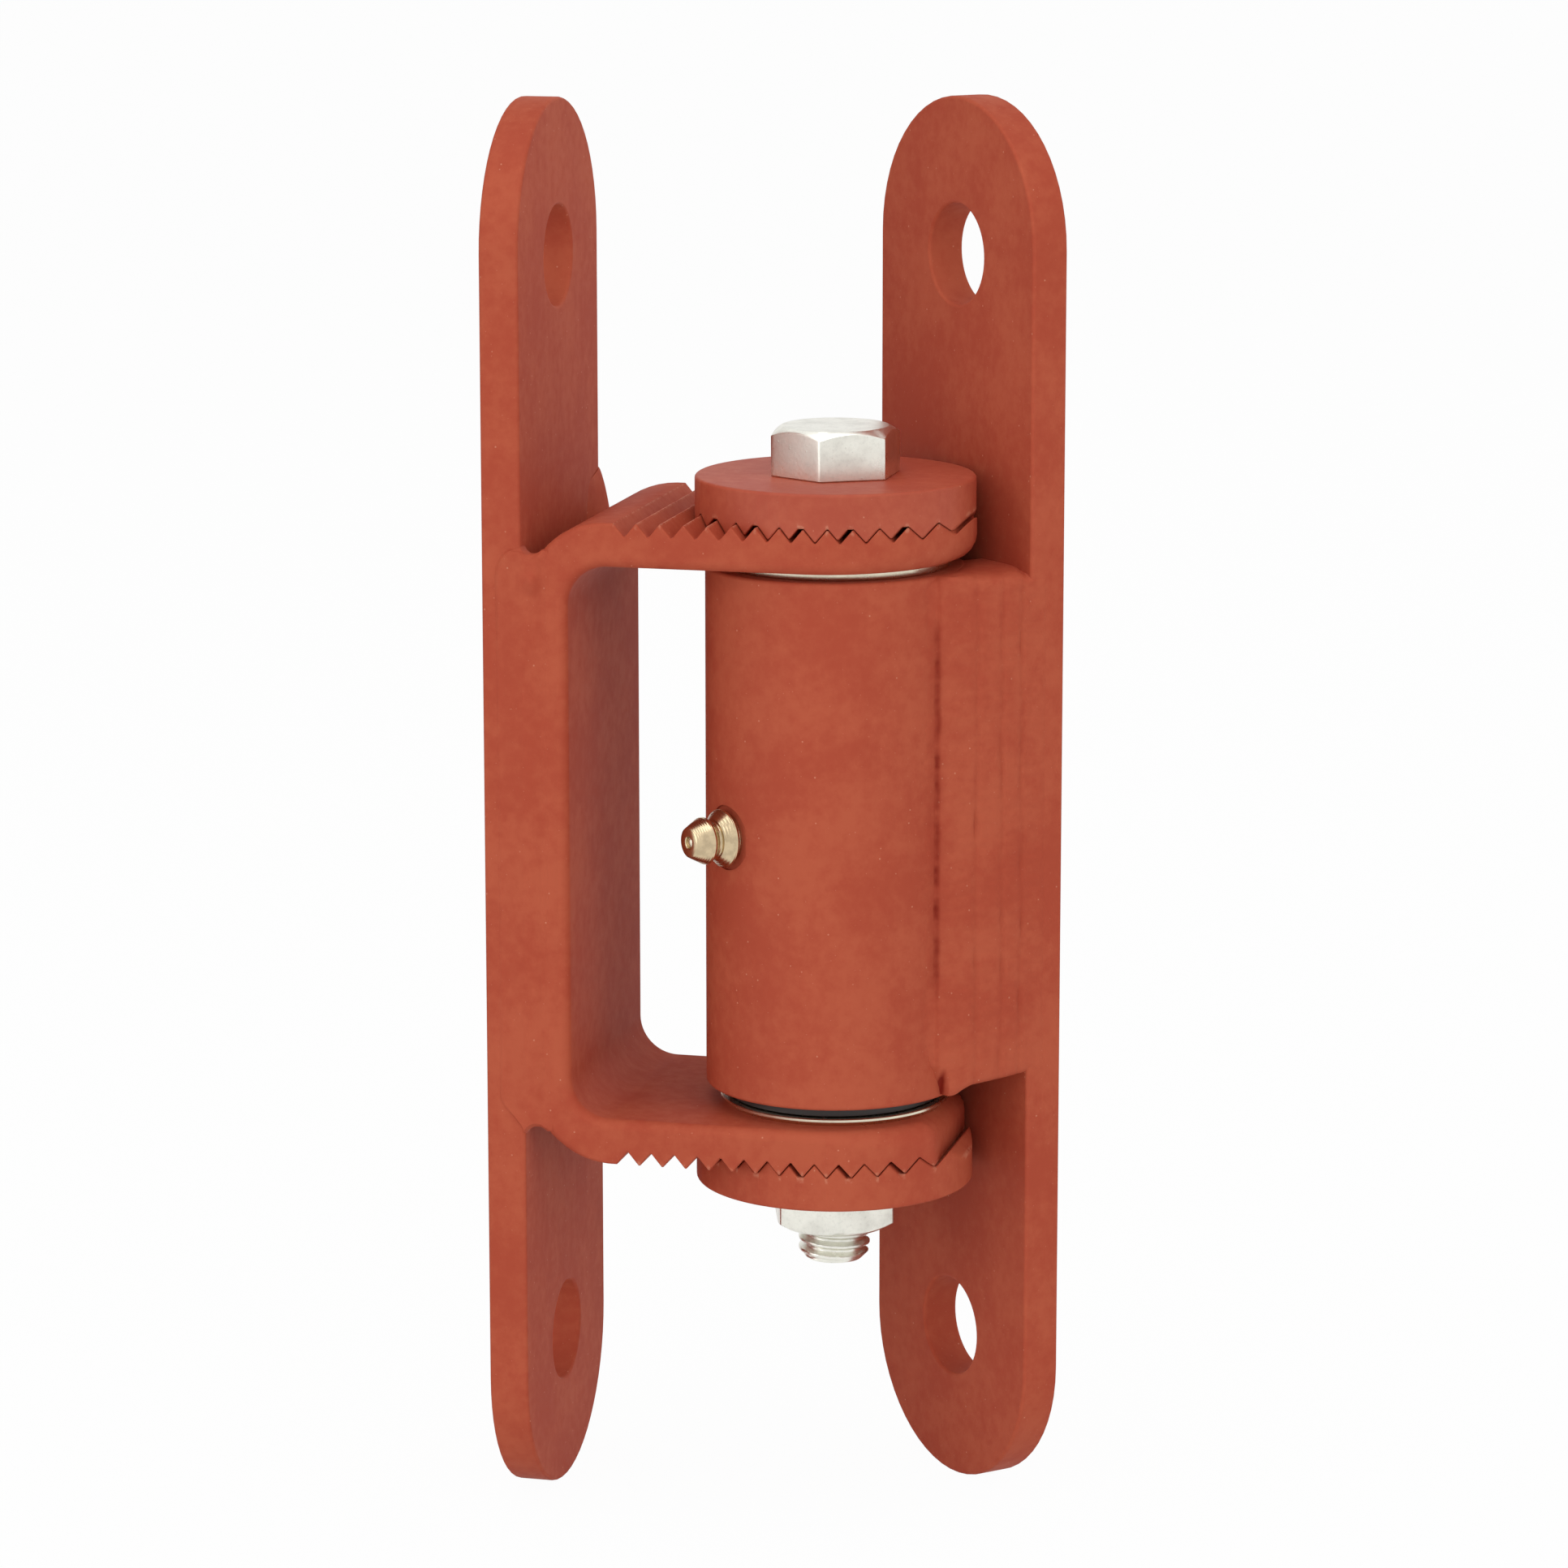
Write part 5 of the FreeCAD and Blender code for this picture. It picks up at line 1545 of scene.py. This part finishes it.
class HINGE_OT_welds(bpy.types.Operator):
    """Build the ground welds of the yoke and the heavy welds of the gate plate"""

    bl_idname = "hinge.welds"
    bl_label = "Welds"

    def execute(self, context):
        sizes = context.scene.hinge_welds
        wobble = {"Ripple pitch": sizes.ripple_pitch, "Ripple height": sizes.ripple_height,
                  "Lump size": sizes.lump_size, "Lump height": sizes.lump_height}
        for side, seed, node in ((-1, 3.0, "gate_weld_front"), (1, 8.0, "gate_weld_rear")):
            skin = GateWeld(sizes, side, seed).rows()
            weld_piece(f"{node}_bead", skin, {**wobble, "Seed": seed}, LEAF, "leaf", node)
        end = WeldEnd(sizes, context.scene.hinge_yoke.bend_radius)
        ground = {**wobble, "Ripple height": sizes.ripple_height * 0.3, "Lump height": sizes.ground_lump}
        for side, seed, node in ((-1, 5.0, "yoke_weld_front"), (1, 11.0, "yoke_weld_rear")):
            skin = yoke_weld_rows(sizes, end, side)
            weld_piece(f"{node}_bead", skin, {**ground, "Seed": seed}, PIVOT, "yoke", node)
        return {"FINISHED"}


def nipple_profile(sizes):
    """Closed profile of the nipple: up its outside from the thread to the tip, and back down
    its bore."""
    neck = sizes.base_height
    head = neck + sizes.neck_length
    band = head + sizes.flare_length
    nose = band + sizes.band_length
    tip = nose + sizes.nose_length
    rim = neck - sizes.shoulder_height
    under = sizes.foot_height
    thread, foot, base, shoulder = [diameter / 2 for diameter in (
        sizes.thread_diameter, sizes.foot_diameter, sizes.base_diameter, sizes.shoulder_top)]
    tip_radius, mouth, bore, throat = [diameter / 2 for diameter in (
        sizes.tip_diameter, sizes.mouth_diameter, sizes.bore_diameter, sizes.throat_diameter)]
    edge, soft, fillet = sizes.edge_round, sizes.tip_round, sizes.fillet
    hollow = sizes.neck_diameter / 2 + fillet
    ball = sizes.head_diameter / 2 - 2 * fillet
    profile = [(thread, -sizes.thread_length), (thread, 0), (foot, 0), (foot, under)]
    profile += [(base - edge, under), (base, under + edge), (base, rim - edge)]
    profile += [(base - edge, rim + 0.05 * MM), (shoulder, neck)]
    profile += arc_points((hollow, neck + fillet), fillet, -QUARTER_TURN, -HALF_TURN, 4)
    profile += arc_points((hollow, head - fillet), fillet, HALF_TURN, HALF_TURN * 0.75, 3)
    profile += arc_points((ball, band + fillet), 2 * fillet, -HALF_TURN / 4, 0, 4)
    profile += arc_points((ball, nose - fillet), 2 * fillet, 0, HALF_TURN / 6, 4)
    profile += [(tip_radius + soft, tip - soft), (tip_radius - soft, tip)]
    profile += [(mouth + soft, tip), (mouth, tip - soft), (mouth, tip - sizes.lip_length)]
    profile += [(bore, tip - sizes.lip_length), (bore, tip - sizes.bore_length)]
    return profile + [(throat, tip - sizes.bore_length), (throat, -sizes.thread_length)]


class HINGE_OT_nipple(bpy.types.Operator):
    """Build the grease nipple"""

    bl_idname = "hinge.nipple"
    bl_label = "Grease nipple"

    def execute(self, context):
        seat = BARREL_RADIUS - context.scene.hinge_barrel.seat_depth
        profile = nipple_profile(context.scene.hinge_nipple)
        nipple = turned_piece("nipple_turned", lambda turn: profile, NIPPLE_SEGMENTS)
        hand_over(nipple, nipple_place(seat), "leaf", "yellow_zinc", ["nipple_body"])
        return {"FINISHED"}


class HINGE_OT_inner_parts(bpy.types.Operator):
    """Give the sleeve, the upper bush and the nipple's ball and spring their finishes"""

    bl_idname = "hinge.inner_parts"
    bl_label = "Inner parts"

    def execute(self, context):
        finishes = {"pivot_sleeve": "bright_steel", "upper_bush": "bush", "nipple_ball": "bright_steel",
                    "nipple_spring": "bright_steel"}
        for node, finish in finishes.items():
            for entry in frame["nodes"][node].material_slots:
                entry.link = "OBJECT"
                entry.material = FINISHES[finish]
        return {"FINISHED"}


class HINGE_OT_finishes(bpy.types.Operator):
    """Make the finishes and the geometry trees that the pieces share"""

    bl_idname = "hinge.finishes"
    bl_label = "Finishes"

    def execute(self, context):
        make_finishes(context.scene.hinge_colours)
        make_trees()
        return {"FINISHED"}


def seen_directly(start):
    """1 for rays from the camera or from a mirror or glass, and 0 for plain light."""
    camera, glossy, through = [start.node("ShaderNodeLightPath", output=name)
                               for name in ("Is Camera Ray", "Is Glossy Ray", "Is Transmission Ray")]
    return camera.most(glossy).most(through)


LAMPS = (
    # name, setting that holds its power, place, width and height, shown in shiny pieces
    ("key_lamp", "key_power", (0.70, -1.20, 0.40), (2.7, 2.3), False),
    ("fill_lamp", "fill_power", (-1.0, -0.9, 0.30), (0.9, 1.1), True),
    ("top_lamp", "top_power", (-0.1, -0.2, 1.3), (1.2, 1.2), True),
    ("back_lamp", "back_power", (0.9, 1.0, 0.6), (0.9, 0.9), True),
)


def add_lamp(name, energy, place, size, mirrored, aim):
    """A large soft lamp that looks at a point, and that shiny pieces may mirror."""
    lamp = bpy.data.lights.new(name, "AREA")
    lamp.shape = "RECTANGLE"
    lamp.size, lamp.size_y = size
    lamp.energy = energy
    holder = put_in_scene(name, lamp)
    holder.location = place
    holder.rotation_euler = (aim - Vector(place)).to_track_quat("-Z", "Y").to_euler()
    holder.visible_glossy = mirrored


def stage_sheet(low):
    """A pale floor that curves up into a backdrop behind the hinge."""
    radius, half_width, front, back, top = 0.8, 3.0, -2.5, 1.6, 2.6
    centre = (back, low + radius)
    curve = arc_points(centre, radius, -QUARTER_TURN, 0, 24)
    profile = [(front, low), *curve, (back + radius, top)]
    vertices = [(x, y, z) for y, z in profile for x in (-half_width, half_width)]
    faces = [(2 * row, 2 * row + 1, 2 * row + 3, 2 * row + 2) for row in range(len(profile) - 1)]
    mesh = bpy.data.meshes.new("studio_sheet")
    mesh.from_pydata(vertices, [], faces)
    sheet = put_in_scene("studio_sheet", mesh)
    mesh.shade_smooth()
    return sheet


def floor_finish(white):
    """Pale matt floor that shows mostly as plain white and keeps the shadow."""
    material = bpy.data.materials.new("studio_floor")
    material.use_nodes = True
    material.node_tree.nodes.clear()
    start = Signal(material.node_tree)
    matt = start.node("ShaderNodeBsdfDiffuse", None, {"Color": (0.86, 0.86, 0.86, 1)})
    glow = start.node("ShaderNodeEmission", None, {"Color": (1, 1, 1, 1), "Strength": 1.0})
    mixed = start.node("ShaderNodeMixShader", None, {0: seen_directly(start) * white, 1: matt, 2: glow})
    start.node("ShaderNodeOutputMaterial", None, {"Surface": mixed})
    return material


def set_world(scene, ambient):
    """Even light from all round, which shows as white where it is seen."""
    world = bpy.data.worlds.new("studio")
    world.use_nodes = True
    world.node_tree.nodes.clear()
    start = Signal(world.node_tree)
    plain = start.node("ShaderNodeBackground", None, {"Color": (1, 1, 1, 1), "Strength": ambient})
    white = start.node("ShaderNodeBackground", None, {"Color": (1, 1, 1, 1), "Strength": 1.0})
    mixed = start.node("ShaderNodeMixShader", None, {0: seen_directly(start), 1: plain, 2: white})
    start.node("ShaderNodeOutputWorld", None, {"Surface": mixed})
    scene.world = world


class HINGE_OT_stage(bpy.types.Operator):
    """Set up the floor, the light and the camera"""

    bl_idname = "hinge.stage"
    bl_label = "Stage"

    def execute(self, context):
        scene = context.scene
        settings = scene.hinge_stage
        scene.view_settings.view_transform = "Standard"
        low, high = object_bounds()
        sheet = stage_sheet(low.z)
        sheet.data.materials.append(floor_finish(settings.floor_white))
        sheet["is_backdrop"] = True
        set_world(scene, settings.ambient)
        for name, holder, place, size, mirrored in LAMPS:
            add_lamp(name, getattr(settings, holder), place, size, mirrored, aim=(low + high) / 2)
        data = bpy.data.cameras.new("photo_camera")
        data.sensor_width = 36
        data.lens = settings.lens
        data.shift_x, data.shift_y = settings.shift_x, settings.shift_y
        data.clip_start, data.clip_end = 0.01, 20
        camera = put_in_scene("photo_camera", data)
        camera.location = settings.camera_place
        camera.rotation_euler = (QUARTER_TURN - settings.pitch, 0, settings.heading)
        scene.camera = camera
        return {"FINISHED"}


OPERATORS = (
    HINGE_OT_finishes,
    HINGE_OT_plates,
    HINGE_OT_yoke,
    HINGE_OT_serrated_washers,
    HINGE_OT_fasteners,
    HINGE_OT_barrel,
    HINGE_OT_welds,
    HINGE_OT_nipple,
    HINGE_OT_inner_parts,
    HINGE_OT_stage,
)


class HINGE_PT_pieces(bpy.types.Panel):
    """Lists the hinge's pieces and their sizes"""

    bl_idname = "HINGE_PT_pieces"
    bl_label = "Gate hinge"
    bl_space_type = "VIEW_3D"
    bl_region_type = "UI"
    bl_category = "Gate hinge"

    def draw(self, context):
        layout = self.layout
        for operator in OPERATORS:
            layout.operator(operator.bl_idname)
        for holder, group in PROPERTY_GROUPS.items():
            column = layout.box().column()
            column.label(text=group.__doc__)
            for name in group.__annotations__:
                column.prop(getattr(context.scene, holder), name)


def register():
    """Register the classes and hang the sizes on the scene."""
    for cls in (*PROPERTY_GROUPS.values(), *OPERATORS, HINGE_PT_pieces):
        bpy.utils.register_class(cls)
    for holder, group in PROPERTY_GROUPS.items():
        setattr(bpy.types.Scene, holder, PointerProperty(type=group))


def unregister():
    """Take the sizes and the classes away again."""
    for holder in PROPERTY_GROUPS:
        delattr(bpy.types.Scene, holder)
    for cls in (HINGE_PT_pieces, *reversed(OPERATORS), *reversed(PROPERTY_GROUPS.values())):
        bpy.utils.unregister_class(cls)


def main():
    """Build the whole hinge."""
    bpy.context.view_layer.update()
    register()
    for operator in OPERATORS:
        group, name = operator.bl_idname.split(".")
        getattr(getattr(bpy.ops, group), name)()


if __name__ == "__main__":
    main()
